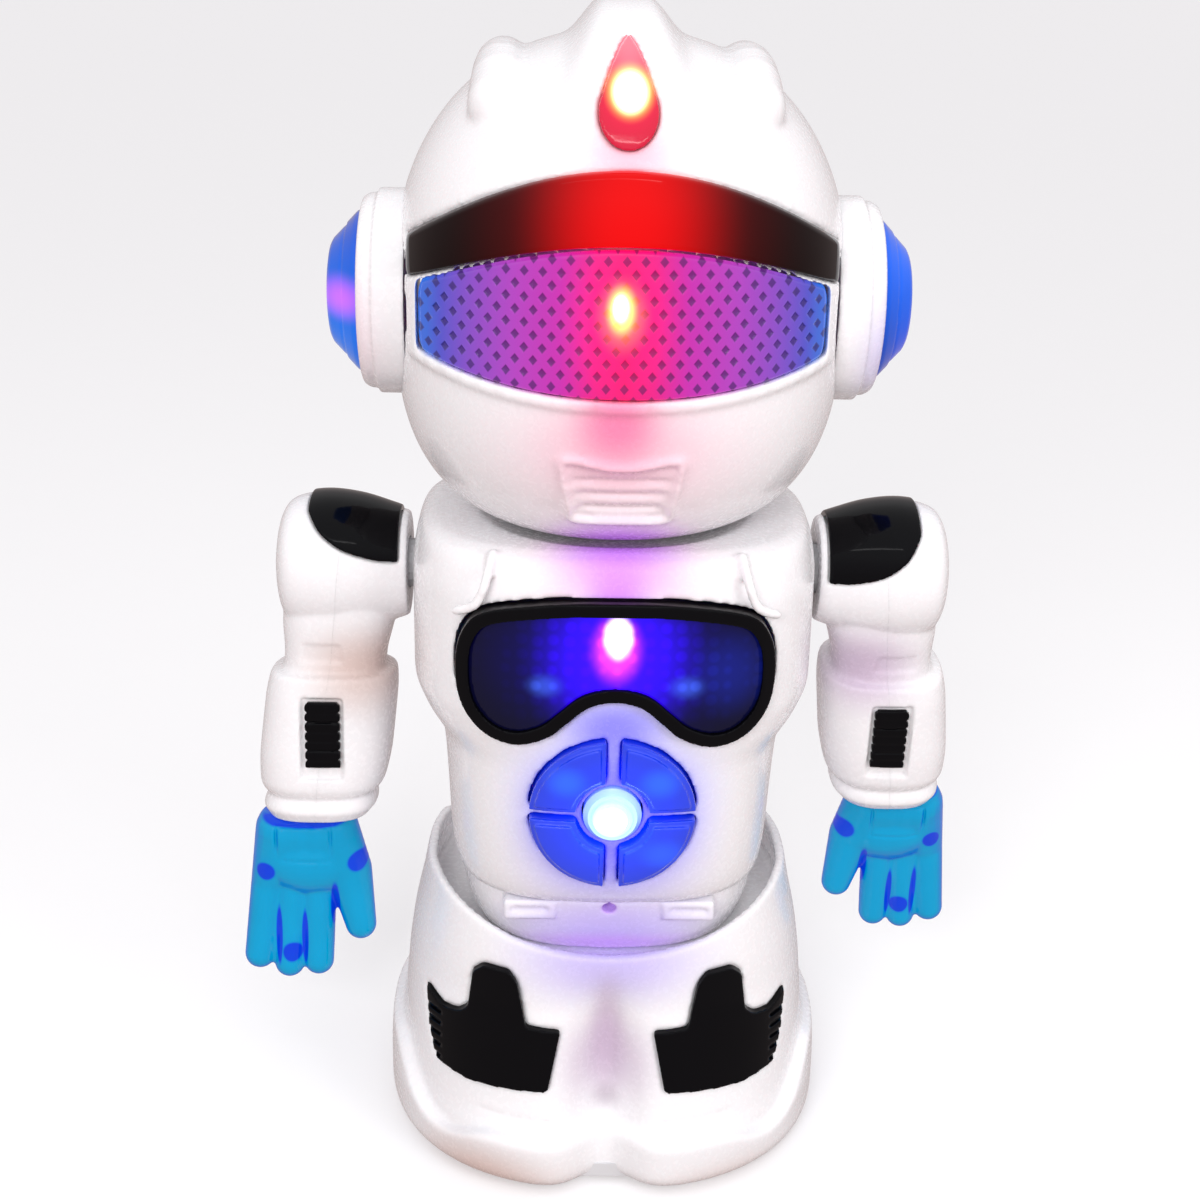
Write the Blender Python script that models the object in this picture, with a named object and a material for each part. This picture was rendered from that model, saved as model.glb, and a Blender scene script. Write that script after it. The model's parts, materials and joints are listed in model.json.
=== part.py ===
"""Toy robot with a bump-and-go drive, as one solid for each moulded or bought piece.

Shapes are drawn in millimetres about the robot's own origin: the floor under its middle, +Z up, the
face towards -Y, the robot's left at +X. Each piece is turned into metres when it is placed under the
empty of the body that it moves with, and that empty stands on the body's joint axis.
"""

import math

import bmesh
import bpy
from mathutils import Matrix

MM = 0.001  # metres in a millimetre

# Fits
GAP = 0.3  # clearance between neighbouring pieces
WALL = 2.0  # wall of the moulded shells
FAR = 90.0  # reach of a cutter that goes right through
SIDES = 24  # facets round the legs, torso and head
ARM_SIDES = 14
ROLLER_SIDES = 16
WHEEL_SIDES = 20

# Legs, which are also the body of the drive base
SOLE_Z = 1.5
LEG_TOP_Z = 58.5
LEG_HALF_X = 48.0
LEG_HALF_Y = 46.0
TOE_FRONT = 48.8  # where the front would be without the cleft
DECK_Z = 48.0  # top of the floor that carries the waist
CLEFT_DEPTH = 7.5  # notch between the two feet and groove between the legs
CLEFT_WIDTH = 7.0
RIM_DIP = 8.0  # how much lower the hip rim is in the middle of the front

# Torso
TORSO_Z = 61.5
SHOULDER_Z = 136.5
TORSO_HALF_X = 41.0
TORSO_FRONT = 39.0
TORSO_BACK = 33.0
EMBLEM_Z = 84.3
EMBLEM_R = 16.7
EMBLEM_LAMP_R = 5.75

# Head
HEAD_Z = 180.0
HEAD_HALF_X = 44.0
HEAD_FRONT = 46.0
HEAD_UP = 49.0
HEAD_DOWN = 46.0
CREST_LIFT = (0.0, 3.5, 6.0)  # the crest's skin is the head's skin moved back and up
BUMP_LIFT = (0.0, 1.5, 4.5)
BUMP_X = 22.75
BUMP_R = 5.2
EAR_Z = 179.0
EAR_RING_R = 20.0
EAR_LENS_R = 16.0
NECK_R = 9.0

# Arms
SHOULDER_AXIS_Z = 122.5
BARREL_R = 14.6
BARREL_IN_X = 42.0
BARREL_OUT_X = 69.3
SPLAY = 0.11  # sideways run of the arm's centre line for each millimetre down
ARM_X = 55.4  # centre of the arm at the shoulder's height
WRIST_Z = 68.8
HAND_TIP_Z = 30.0
HAND_HALF_Y = 8.5
ARM_SWING = {"left": -7.0, "right": 8.0}  # degrees forward at which the arms are left hanging
HAND_SHIFT = 1.7  # the palm's middle lies outside the arm's centre line
AXLE_R = 5.0
AXLE_ENDS = (34.0, 48.4)

# Drive
WHEEL_R = 9.0
WHEEL_X = 10.5
WHEEL_WIDTH = 5.0
TURNTABLE_R = 20.0
GEAR_R = 7.2
IDLER_R = 4.6
PINION_R = 2.4
IDLER_Z = WHEEL_R + GEAR_R + IDLER_R + GAP
PINION_Z = IDLER_Z + IDLER_R + PINION_R + GAP
FRAME_TOP_Z = 38.2
BRIDGE_Z = 39.2
ROLLER_R = 4.0
ROLLERS = {"front": (0.0, -27.0), "rear_left": (26.0, 27.0), "rear_right": (-26.0, 27.0)}

# AA cells and their tray
CELL_R = 7.0
CELL_LENGTH = 50.0
CELL_PITCH = 15.0
CELL_Y = 16.5
CELL_Z = 78.0
DOOR_SCREW_Z = 111.0
TRAY = ((-26.8, 7.4, 68.8), (26.8, 18.0, 117.2))

# Where each moving body turns or slides
PIVOTS = {
    "base": (0, 0, 0),
    "turntable": (0, 0, SOLE_Z),
    "drive_wheels": (0, 0, WHEEL_R),
    "idler": (0, 0, IDLER_Z),
    "pinion": (0, 0, PINION_Z),
    "roller_front": (*ROLLERS["front"], ROLLER_R),
    "roller_rear_left": (*ROLLERS["rear_left"], ROLLER_R),
    "roller_rear_right": (*ROLLERS["rear_right"], ROLLER_R),
    "torso": (0, 0, DECK_Z),
    "switch": (0, TORSO_BACK, 122.0),
    "head": (0, 0, HEAD_Z - HEAD_DOWN),
    "left_arm": (BARREL_IN_X, 0, SHOULDER_AXIS_Z),
    "right_arm": (-BARREL_IN_X, 0, SHOULDER_AXIS_Z),
}
PARENTS = {
    "turntable": "base",
    "drive_wheels": "turntable",
    "idler": "turntable",
    "pinion": "turntable",
    "roller_front": "base",
    "roller_rear_left": "base",
    "roller_rear_right": "base",
    "torso": "base",
    "switch": "torso",
    "head": "torso",
    "left_arm": "torso",
    "right_arm": "torso",
}

# Colour, roughness, metallic and alpha of each plastic or metal
FINISHES = {
    "white_shell": ((0.86, 0.85, 0.88), 0.22, 0.0, 1.0),
    "black_gloss": ((0.012, 0.012, 0.014), 0.12, 0.0, 1.0),
    "smoked_red": ((0.16, 0.008, 0.02), 0.10, 0.0, 1.0),
    "visor_blue": ((0.16, 0.06, 0.62), 0.10, 0.0, 1.0),
    "lamp_red": ((0.80, 0.01, 0.02), 0.10, 0.0, 1.0),
    "lens_blue": ((0.02, 0.16, 0.85), 0.10, 0.0, 1.0),
    "smoked_blue": ((0.02, 0.02, 0.12), 0.10, 0.0, 1.0),
    "clear_lens": ((0.75, 0.90, 0.95), 0.08, 0.0, 1.0),
    "hand_blue": ((0.05, 0.42, 0.75), 0.14, 0.0, 1.0),
    "grey_plastic": ((0.30, 0.31, 0.33), 0.45, 0.0, 1.0),
    "black_plastic": ((0.03, 0.03, 0.035), 0.40, 0.0, 1.0),
    "reflector": ((0.80, 0.80, 0.82), 0.15, 0.6, 1.0),
    "circuit_green": ((0.02, 0.16, 0.06), 0.35, 0.0, 1.0),
    "rubber": ((0.025, 0.025, 0.025), 0.80, 0.0, 1.0),
    "steel": ((0.60, 0.60, 0.62), 0.28, 1.0, 1.0),
    "cell": ((0.10, 0.11, 0.13), 0.30, 0.4, 1.0),
}


# ---------------------------------------------------------------- mesh tools


def clear_scene():
    for obj in list(bpy.data.objects):
        bpy.data.objects.remove(obj, do_unlink=True)


def as_object(name, bm):
    bmesh.ops.recalc_face_normals(bm, faces=bm.faces)
    mesh = bpy.data.meshes.new(name)
    bm.to_mesh(mesh)
    bm.free()
    obj = bpy.data.objects.new(name, mesh)
    bpy.context.scene.collection.objects.link(obj)
    return obj


def skin_faces(bm, loops):
    """Quads between neighbouring loops of points. A loop of one point is a pole."""
    for low, high in zip(loops, loops[1:]):
        for i in range(max(len(low), len(high))):
            j = i + 1
            corners = [low[i % len(low)], low[j % len(low)], high[j % len(high)], high[i % len(high)]]
            bm.faces.new(list(dict.fromkeys(corners)))


def loft(name, rings):
    """Closed skin through rings of as many points, with a flat face on each end."""
    bm = bmesh.new()
    loops = [[bm.verts.new(point) for point in ring] for ring in rings]
    skin_faces(bm, loops)
    bm.faces.new(loops[0])
    bm.faces.new(loops[-1])
    return as_object(name, bm)


def on_axis(axis, across, up, along):
    """A point given by its distance along an axis and its two places across it."""
    return {"X": (along, across, up), "Y": (across, along, up), "Z": (across, up, along)}[axis]


def lathe(name, profile, axis="Z", centre=(0, 0, 0), steps=14):
    """Solid turned from (radius, distance along the axis). Off the axis at both ends, it is a ring."""
    bm = bmesh.new()
    loops = []
    for radius, along in profile:
        count = steps if radius > 0 else 1
        loop = []
        for i in range(count):
            angle = math.tau * (i + 0.5) / steps
            spot = on_axis(axis, radius * math.cos(angle), radius * math.sin(angle), along)
            loop.append(bm.verts.new([a + b for a, b in zip(spot, centre)]))
        loops.append(loop)
    if len(loops[0]) > 1:
        loops.append(loops[0])
    skin_faces(bm, loops)
    return as_object(name, bm)


def rod(name, radius, low, high, axis="Z", centre=(0, 0, 0), steps=14):
    return lathe(name, [(0, low), (radius, low), (radius, high), (0, high)], axis, centre, steps)


def tube(name, outer, inner, low, high, axis="Z", centre=(0, 0, 0), steps=14):
    profile = [(inner, low), (outer, low), (outer, high), (inner, high)]
    return lathe(name, profile, axis, centre, steps)


def prism(name, outline, axis, low, high):
    """Solid with one outline all along an axis."""
    ends = [[on_axis(axis, across, up, along) for across, up in outline] for along in (low, high)]
    return loft(name, ends)


def box(name, low, high):
    outline = [(low[0], low[1]), (high[0], low[1]), (high[0], high[1]), (low[0], high[1])]
    return prism(name, outline, "Z", low[2], high[2])


def combine(obj, other, operation):
    """Booleans the second object into the first one and removes the second."""
    modifier = obj.modifiers.new(operation, "BOOLEAN")
    modifier.operation = operation
    modifier.object = other
    graph = bpy.context.evaluated_depsgraph_get()
    mesh = bpy.data.meshes.new_from_object(obj.evaluated_get(graph))
    obj.modifiers.clear()
    obj.data = mesh
    bpy.data.objects.remove(other, do_unlink=True)
    return obj


def cut(obj, *others):
    for other in others:
        combine(obj, other, "DIFFERENCE")
    return obj


def fuse(obj, *others):
    for other in others:
        combine(obj, other, "UNION")
    return obj


def keep(obj, other):
    return combine(obj, other, "INTERSECT")


def copy_of(obj, name):
    twin = obj.copy()
    twin.data = obj.data.copy()
    twin.name = name
    bpy.context.scene.collection.objects.link(twin)
    return twin


def moved(obj, offset):
    obj.data.transform(Matrix.Translation(offset))
    return obj


def halves(obj, names, axis, at=0.0, slope=0.0):
    """Splits a shell at a parting plane, which may lean outwards going down. Returns low and high."""
    low_half = copy_of(obj, names[0])
    high_half = copy_of(obj, names[1])
    bpy.data.objects.remove(obj, do_unlink=True)
    for half, side in ((low_half, -1), (high_half, 1)):
        near = side * GAP / 2
        plane = [(at + near - slope * z, z) for z in (-FAR, 3 * FAR)]
        far = [(at + side * FAR * 2, 3 * FAR), (at + side * FAR * 2, -FAR)]
        other_axis = "Y" if axis == "X" else "X"
        keep(half, prism("side", plane + far, other_axis, -FAR * 2, FAR * 2))
    return low_half, high_half


def grown(outline, amount):
    """The outline with each corner moved out along the bisector of its sides."""
    area = sum(a[0] * b[1] - b[0] * a[1] for a, b in zip(outline, outline[1:] + outline[:1]))
    turn = 1 if area > 0 else -1
    corners = []
    for i, (x, z) in enumerate(outline):
        before = outline[i - 1]
        after = outline[(i + 1) % len(outline)]
        normals = []
        for start, end in ((before, (x, z)), ((x, z), after)):
            length = math.hypot(end[0] - start[0], end[1] - start[1])
            normals.append(((end[1] - start[1]) / length * turn, (start[0] - end[0]) / length * turn))
        across = (normals[0][0] + normals[1][0], normals[0][1] + normals[1][1])
        reach = 2 * amount / max(across[0] ** 2 + across[1] ** 2, 1.0)
        corners.append((x + across[0] * reach, z + across[1] * reach))
    return corners


def mirrored(outline):
    return [(-x, z) for x, z in outline]


def both_sides(right_half):
    """A closed outline from its half at +x, whose ends lie on the middle line."""
    return right_half + [(-x, z) for x, z in reversed(right_half[1:-1])]


def rounded_box(half_x, front, back, z, power, steps, centre_x=0.0, cleft=0.0):
    """Level superellipse ring. The cleft is a smooth notch in the middle of its front."""
    ring = []
    for i in range(steps):
        angle = math.tau * (i + 0.5) / steps
        across = math.copysign(abs(math.cos(angle)) ** (2 / power), math.cos(angle))
        along = math.copysign(abs(math.sin(angle)) ** (2 / power), math.sin(angle))
        x = half_x * across
        y = (back if along > 0 else front) * along
        if along < 0:
            y += cleft * math.exp(-((x / CLEFT_WIDTH) ** 2)) * abs(along)
        ring.append((centre_x + x, y, z))
    return ring


def inlay(name, skin, outline, proud, depth, behind=-4.0):
    """The part of a curved front skin inside an outline, from `proud` outside it to `depth` inside."""
    piece = keep(skin(name, proud), prism("outline", outline, "Y", -FAR, behind))
    return cut(piece, skin("core", -depth))


# ---------------------------------------------------------------- placing


def make_bodies():
    empties = {}
    for body, pivot in PIVOTS.items():
        empty = bpy.data.objects.new("body_" + body, None)
        empty.empty_display_size = 0.01
        bpy.context.scene.collection.objects.link(empty)
        parent = PARENTS.get(body)
        start = PIVOTS[parent] if parent else (0, 0, 0)
        empty.parent = empties.get(parent)
        empty.location = [(a - b) * MM for a, b in zip(pivot, start)]
        empty.rotation_euler.x = -math.radians(ARM_SWING.get(body.removesuffix("_arm"), 0.0))
        empties[body] = empty
    return empties


def finish_material(name):
    if name in bpy.data.materials:
        return bpy.data.materials[name]
    colour, roughness, metallic, alpha = FINISHES[name]
    material = bpy.data.materials.new(name)
    material.use_nodes = True
    shader = material.node_tree.nodes["Principled BSDF"]
    shader.inputs["Base Color"].default_value = (*colour, 1.0)
    shader.inputs["Roughness"].default_value = roughness
    shader.inputs["Metallic"].default_value = metallic
    shader.inputs["Alpha"].default_value = alpha
    return material


def place(obj, finish, body, empties, sharp=35.0):
    """Gives a piece its finish, turns it into metres and hangs it on its body's empty."""
    pivot = PIVOTS[body]
    to_body = Matrix.Scale(MM, 4) @ Matrix.Translation([-p for p in pivot])
    obj.data.transform(to_body)
    obj.data.shade_smooth()
    obj.data.set_sharp_from_angle(angle=math.radians(sharp))
    obj.data.materials.clear()
    obj.data.materials.append(finish_material(finish))
    obj.parent = empties[body]
    return obj


# ---------------------------------------------------------------- legs and base


def leg_skin(name, grow=0.0):
    """Outer form of the legs and hips: two toes in front, a step over the shoes, a hip bowl on top."""
    stations = (
        # height, share of the half width, front, share of the back, cleft
        (SOLE_Z - grow, 0.970, TOE_FRONT - 1.5, 0.970, CLEFT_DEPTH),
        (SOLE_Z + 3.0, 1.0, TOE_FRONT, 1.0, CLEFT_DEPTH),
        (10.5, 1.0, TOE_FRONT, 1.0, CLEFT_DEPTH),
        (13.0, 0.995, TOE_FRONT - 3.0, 0.995, CLEFT_DEPTH),
        (24.0, 0.975, TOE_FRONT - 5.5, 0.970, CLEFT_DEPTH),
        (34.0, 0.935, TOE_FRONT - 9.0, 0.930, 0.70 * CLEFT_DEPTH),
        (38.5, 0.910, TOE_FRONT - 10.5, 0.900, 0.40 * CLEFT_DEPTH),
        (50.0, 0.850, TOE_FRONT - 12.3, 0.850, 0.0),
        (LEG_TOP_Z + grow, 0.815, TOE_FRONT - 14.3, 0.800, 0.0),
    )
    rings = []
    for z, wide, front, back, cleft in stations:
        half_x = LEG_HALF_X * wide + grow
        back_y = LEG_HALF_Y * back + grow
        rings.append(rounded_box(half_x, front + grow, back_y, z, 2.35, SIDES, cleft=cleft))
    return loft(name, rings)


def knee_outline():
    """Left knee patch seen from the front: a tongue over a wide lower part."""
    return [
        (12.1, 21.6), (9.6, 33.8), (16.8, 34.4), (18.6, 43.6), (20.4, 45.8), (25.6, 45.8),
        (28.0, 43.6), (29.0, 35.6), (30.6, 34.0), (38.0, 34.4), (36.0, 21.4), (29.0, 20.6),
    ]  # fmt: skip


def sole_ring(z, inset):
    """Outline of the sole, moved inwards."""
    half_x = LEG_HALF_X * 0.97 - inset
    front = TOE_FRONT - 1.5 - inset
    return rounded_box(half_x, front, LEG_HALF_Y * 0.97 - inset, z, 2.35, SIDES, cleft=CLEFT_DEPTH)


def leg_shells(empties):
    shell = leg_skin("legs")
    hollow = keep(leg_skin("hollow", -WALL), box("below", (-FAR, -FAR, -1), (FAR, FAR, DECK_Z - WALL)))
    mouth = loft("mouth", [sole_ring(z, WALL) for z in (-1.0, SOLE_Z + 3.2)])
    bowl_rim = leg_skin("bowl", -WALL - 0.6)
    keep(bowl_rim, box("above", (-FAR, -FAR, DECK_Z), (FAR, FAR, LEG_TOP_Z + 5)))
    lip = moved(copy_of(bowl_rim, "lip"), (0, 0, 3.0))
    cut(shell, hollow, mouth, bowl_rim, lip)
    cut(shell, rod("waist hole", 14.0, DECK_Z - 5, DECK_Z + 5, steps=18))
    dip = [(36.0 * i / 4, LEG_TOP_Z - RIM_DIP * (1 - (i / 4) ** 2)) for i in range(5)]
    top_cut = both_sides([(0.0, dip[0][1])] + dip[1:] + [(FAR, LEG_TOP_Z), (FAR, FAR), (0.0, FAR)])
    cut(shell, prism("rim line", top_cut, "Y", -FAR, FAR))
    rear_z = LEG_TOP_Z - RIM_DIP
    rear_fall = [(4.0, LEG_TOP_Z), (FAR / 2, rear_z), (FAR, rear_z), (FAR, FAR), (4.0, FAR)]
    cut(shell, prism("rear rim", rear_fall, "X", -FAR, FAR))
    for outline in (knee_outline(), mirrored(knee_outline())):
        recess = prism("recess", grown(outline, GAP), "Y", -FAR, -4.0)
        cut(recess, leg_skin("floor", -0.8 - 2 * GAP))
        cut(shell, recess)
    names = ("legs_front_shell", "legs_rear_shell")
    for half in halves(shell, names, "Y"):
        place(half, "white_shell", "base", empties)
    for side, outline in (("left", knee_outline()), ("right", mirrored(knee_outline()))):
        patch = inlay("knee_patch_" + side, leg_skin, outline, 0.8, 0.8)
        place(patch, "black_gloss", "base", empties)


def base_plate(empties):
    """Floor of the drive base, with openings for the turntable and the rollers."""
    plate = loft("base_plate", [sole_ring(z, WALL + GAP) for z in (SOLE_Z, SOLE_Z + 3.0)])
    cut(plate, rod("turntable hole", TURNTABLE_R + GAP, -1, 9, steps=32))
    for x, y in ROLLERS.values():
        slot = box("slot", (x - 2.4, y - 4.6, -1), (x + 2.4, y + 4.6, 9))
        trough = box("trough", (x - 5.0, y - 1.3, 2.7), (x + 5.0, y + 1.3, 9))
        cut(plate, slot, trough)
    for side in (-1, 1):
        post = box("post", (side * 36.0 - 2.5, -5.0, SOLE_Z + 1), (side * 36.0 + 2.5, 5.0, BRIDGE_Z))
        fuse(plate, post)
    place(plate, "grey_plastic", "base", empties)


def bridge(empties):
    """Bar across the posts of the base plate that holds the top of the turntable."""
    bar = box("turntable_bridge", (-38.5, -5.0, BRIDGE_Z + GAP), (38.5, 5.0, BRIDGE_Z + 2.3))
    cut(bar, rod("bearing", 3.0 + GAP, BRIDGE_Z - 5, BRIDGE_Z + 5, steps=16))
    place(bar, "grey_plastic", "base", empties)


def across_flats(radius, steps):
    """Corner radius of a tread whose flats lie at the given radius, so that it stands on a flat."""
    return radius / math.cos(math.pi / steps)


def rollers(empties):
    tread_r = across_flats(ROLLER_R, ROLLER_SIDES)
    for name, (x, y) in ROLLERS.items():
        body = "roller_" + name
        profile = [
            (0, -4.2), (0.9, -4.2), (0.9, -2.0), (tread_r, -1.7), (tread_r, 1.7), (0.9, 2.0),
            (0.9, 4.2), (0, 4.2),
        ]  # fmt: skip
        wheel = lathe(body, profile, "X", (x, y, ROLLER_R), ROLLER_SIDES)
        place(wheel, "black_plastic", body, empties)


def turntable(empties):
    """Turning floor of the drive: disc, flange above the base plate, bearing ears for the axle."""
    disc = lathe(
        "turntable",
        [
            (0, SOLE_Z), (TURNTABLE_R, SOLE_Z), (TURNTABLE_R, SOLE_Z + 3.3),
            (TURNTABLE_R + 2.2, SOLE_Z + 3.3), (TURNTABLE_R + 2.2, SOLE_Z + 5.0), (0, SOLE_Z + 5.0),
        ],
        steps=18,
    )  # fmt: skip
    for side in (-1, 1):
        near = WHEEL_X - WHEEL_WIDTH / 2 - 0.8
        far = WHEEL_X + WHEEL_WIDTH / 2 + 0.8
        low, high = sorted((side * near, side * far))
        cut(disc, box("wheel slot", (low, -10.2, 0), (high, 10.2, 12)))
        ear = box("ear", (side * 15.6 - 1.0, -3.0, 5.0), (side * 15.6 + 1.0, 3.0, 12.5))
        fuse(disc, ear)
    cut(disc, box("gear slot", (-2.4, -8.4, 0), (2.4, 8.4, 12)))
    cut(disc, rod("axle bore", 1.5 + GAP, -20, 20, "X", (0, 0, WHEEL_R), 16))
    place(disc, "grey_plastic", "turntable", empties)


def gear_frame(empties):
    """Open frame on the turntable that carries the motor, topped by the upper bearing pin."""
    frame = box("gear_frame", (-12.0, -13.4, 6.8), (12.0, 13.4, FRAME_TOP_Z))
    cut(frame, box("inside", (-FAR, -11.6, 0), (FAR, 11.6, FRAME_TOP_Z - 1.6)))
    fuse(frame, rod("pin", 3.0, FRAME_TOP_Z - 1.0, BRIDGE_Z + 2.0, steps=16))
    place(frame, "grey_plastic", "turntable", empties)


def drive_motor(empties):
    """Small flat-sided motor beside its pinion."""
    corner = [(7.5, -7.6), (10.0, -5.5)]
    one_side = corner + [(y, -z) for y, z in reversed(corner)]
    outline = one_side + [(-y, -z) for y, z in one_side]
    can = prism("drive_motor", [(y, PINION_Z + z) for y, z in outline], "X", 2.6, 24.0)
    fuse(can, rod("boss", 3.0, 23.0, 25.5, "X", (0, 0, PINION_Z), 16))
    place(can, "steel", "turntable", empties)


def drive_wheels(empties):
    """Axle with two driven wheels and the gear between them."""
    place(rod("drive_axle", 1.5, -17.5, 17.5, "X", (0, 0, WHEEL_R), 16), "steel", "drive_wheels", empties)
    for side, sign in (("left", 1), ("right", -1)):
        half = WHEEL_WIDTH / 2
        tread_r = across_flats(WHEEL_R, WHEEL_SIDES)
        profile = [
            (1.5 + GAP, -half), (tread_r, 0.3 - half), (tread_r, half - 0.3), (1.5 + GAP, half),
        ]  # fmt: skip
        wheel = lathe("drive_wheel_" + side, profile, "X", (sign * WHEEL_X, 0, WHEEL_R), WHEEL_SIDES)
        place(wheel, "rubber", "drive_wheels", empties)
    gear = tube("axle_gear", GEAR_R, 1.5 + GAP, -1.4, 1.4, "X", (0, 0, WHEEL_R), 16)
    place(gear, "grey_plastic", "drive_wheels", empties)
    idler = rod("idler_gear", IDLER_R, -1.4, 1.4, "X", (0, 0, IDLER_Z), 16)
    place(idler, "grey_plastic", "idler", empties)
    pinion = rod("motor_pinion", PINION_R, -1.6, 1.6, "X", (0, 0, PINION_Z), 12)
    place(pinion, "steel", "pinion", empties)


# ---------------------------------------------------------------- torso


def torso_skin(name, grow=0.0):
    """Outer form of the torso: a narrow middle under broad shoulders."""
    stations = (
        # height, share of the half width, share of the front, share of the back
        (TORSO_Z - min(grow, 0.0) * 1.2, 0.790, 0.850, 0.850),
        (69.0, 0.822, 0.940, 0.930),
        (80.0, 0.835, 0.975, 0.960),
        (94.0, 0.860, 0.990, 0.980),
        (100.0, 0.960, 1.0, 1.0),
        (104.0, 1.0, 1.0, 1.0),
        (126.0, 1.0, 0.985, 0.985),
        (133.5, 0.975, 0.935, 0.930),
        (SHOULDER_Z + min(grow, 0.0), 0.925, 0.850, 0.850),
    )
    rings = []
    for z, wide, front, back in stations:
        half_x = TORSO_HALF_X * wide + grow
        front_y = TORSO_FRONT * front + grow
        rings.append(rounded_box(half_x, front_y, TORSO_BACK * back + grow, z, 3.0, SIDES))
    return loft(name, rings)


def chest_outline():
    """Goggle-shaped chest lens: two lobes under a shallow arch."""
    right_half = [
        (0.0, 109.4), (5.0, 108.2), (9.0, 104.6), (13.0, 101.4), (19.0, 99.8), (25.0, 101.4),
        (29.4, 106.5), (30.6, 113.5), (29.6, 121.0), (25.5, 126.0), (13.0, 128.4), (0.0, 129.0),
    ]  # fmt: skip
    return both_sides(right_half)


def arc(radius, start, end, steps, centre=(0.0, 0.0)):
    """Points on a circle between two angles in radians."""
    angles = [start + (end - start) * i / steps for i in range(steps + 1)]
    return [(centre[0] + radius * math.cos(a), centre[1] + radius * math.sin(a)) for a in angles]


def emblem_quadrant(across, up, inset=0.0):
    """One of the four emblem pads: a ring sector between the arms of a cross."""
    half_slot_x = 1.2 + inset
    half_slot_z = 0.7 + inset
    outer = EMBLEM_R - inset
    inner = EMBLEM_LAMP_R + 1.3 + inset
    outside = arc(outer, math.asin(half_slot_z / outer), math.acos(half_slot_x / outer), 5)
    inside = arc(inner, math.acos(half_slot_x / inner), math.asin(half_slot_z / inner), 2)
    return [(across * x, EMBLEM_Z + up * z) for x, z in outside + inside]


QUADRANTS = ((1, 1), (-1, 1), (-1, -1), (1, -1))


def torso_shells(empties):
    shell = torso_skin("torso")
    hollow = cut(torso_skin("hollow", -WALL), head_skin("dish", 1.5 + WALL))
    cut(shell, hollow, head_skin("dish", 1.5))
    cut(shell, rod("neck hole", NECK_R + GAP, 120, 145, steps=18))
    cut(shell, rod("waist hole", 7.0, 60, 72, steps=18))
    cut(shell, rod("axle holes", AXLE_R + GAP, -FAR, FAR, "X", (0, 0, SHOULDER_AXIS_Z), 16))
    cut(shell, prism("chest window", grown(chest_outline(), GAP), "Y", -FAR, -20))
    for across, up in QUADRANTS:
        cut(shell, prism("pad window", emblem_quadrant(across, up), "Y", -FAR, -20))
    cut(shell, rod("lamp hole", EMBLEM_LAMP_R + GAP, -FAR, -20, "Y", (0, 0, EMBLEM_Z), 18))
    cut(shell, prism("door opening", door_outline(0.0), "Y", 20, FAR))
    cut(shell, box("switch slot", (-5.0, 20, 120.4), (5.0, FAR, 123.6)))
    for half in halves(shell, ("torso_front_shell", "torso_rear_shell"), "Y"):
        place(half, "white_shell", "torso", empties)


def door_outline(inset):
    half_x = 23.0 - inset
    low = 71.0 + inset
    high = 115.0 - inset
    return [(-half_x, low), (half_x, low), (half_x, high), (-half_x, high)]


def chest_lens(empties):
    """Black bezel round a smoked lens, with a bright reflector behind it."""
    bezel = inlay("chest_bezel", torso_skin, chest_outline(), 2.6, WALL)
    cut(bezel, prism("opening", grown(chest_outline(), -2.4), "Y", -FAR, -20))
    place(bezel, "black_gloss", "torso", empties)
    lens = inlay("chest_lens", torso_skin, grown(chest_outline(), -2.4 - GAP), 1.4, 0.6)
    place(lens, "smoked_blue", "torso", empties)
    outline = [(-26, 104), (26, 104), (26, 126), (-26, 126)]
    reflector = inlay("chest_reflector", torso_skin, outline, -4.0, 5.5)
    place(reflector, "reflector", "torso", empties)


def emblem(empties):
    """Four blue pads on one plate behind the chest wall, and a clear lamp lens in the middle."""
    disc = arc(EMBLEM_R + 0.9, 0.0, math.tau, 16, (0.0, EMBLEM_Z))[:-1]
    pads = inlay("emblem_pads", torso_skin, disc, -WALL - GAP, 4.0, -20.0)
    for across, up in QUADRANTS:
        fuse(pads, inlay("pad", torso_skin, emblem_quadrant(across, up, GAP), 2.4, 3.2))
    cut(pads, rod("lamp hole", EMBLEM_LAMP_R + GAP, -FAR, -20, "Y", (0, 0, EMBLEM_Z), 18))
    place(pads, "lens_blue", "torso", empties)
    front = -TORSO_FRONT * 0.98
    profile = [
        (0, front - 3.2), (2.6, front - 3.0), (4.6, front - 2.2), (EMBLEM_LAMP_R, front - 0.6),
        (EMBLEM_LAMP_R, front + 6.5), (0, front + 6.5),
    ]  # fmt: skip
    place(lathe("emblem_lamp", profile, "Y", (0, 0, EMBLEM_Z), 18), "clear_lens", "torso", empties)


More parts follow.
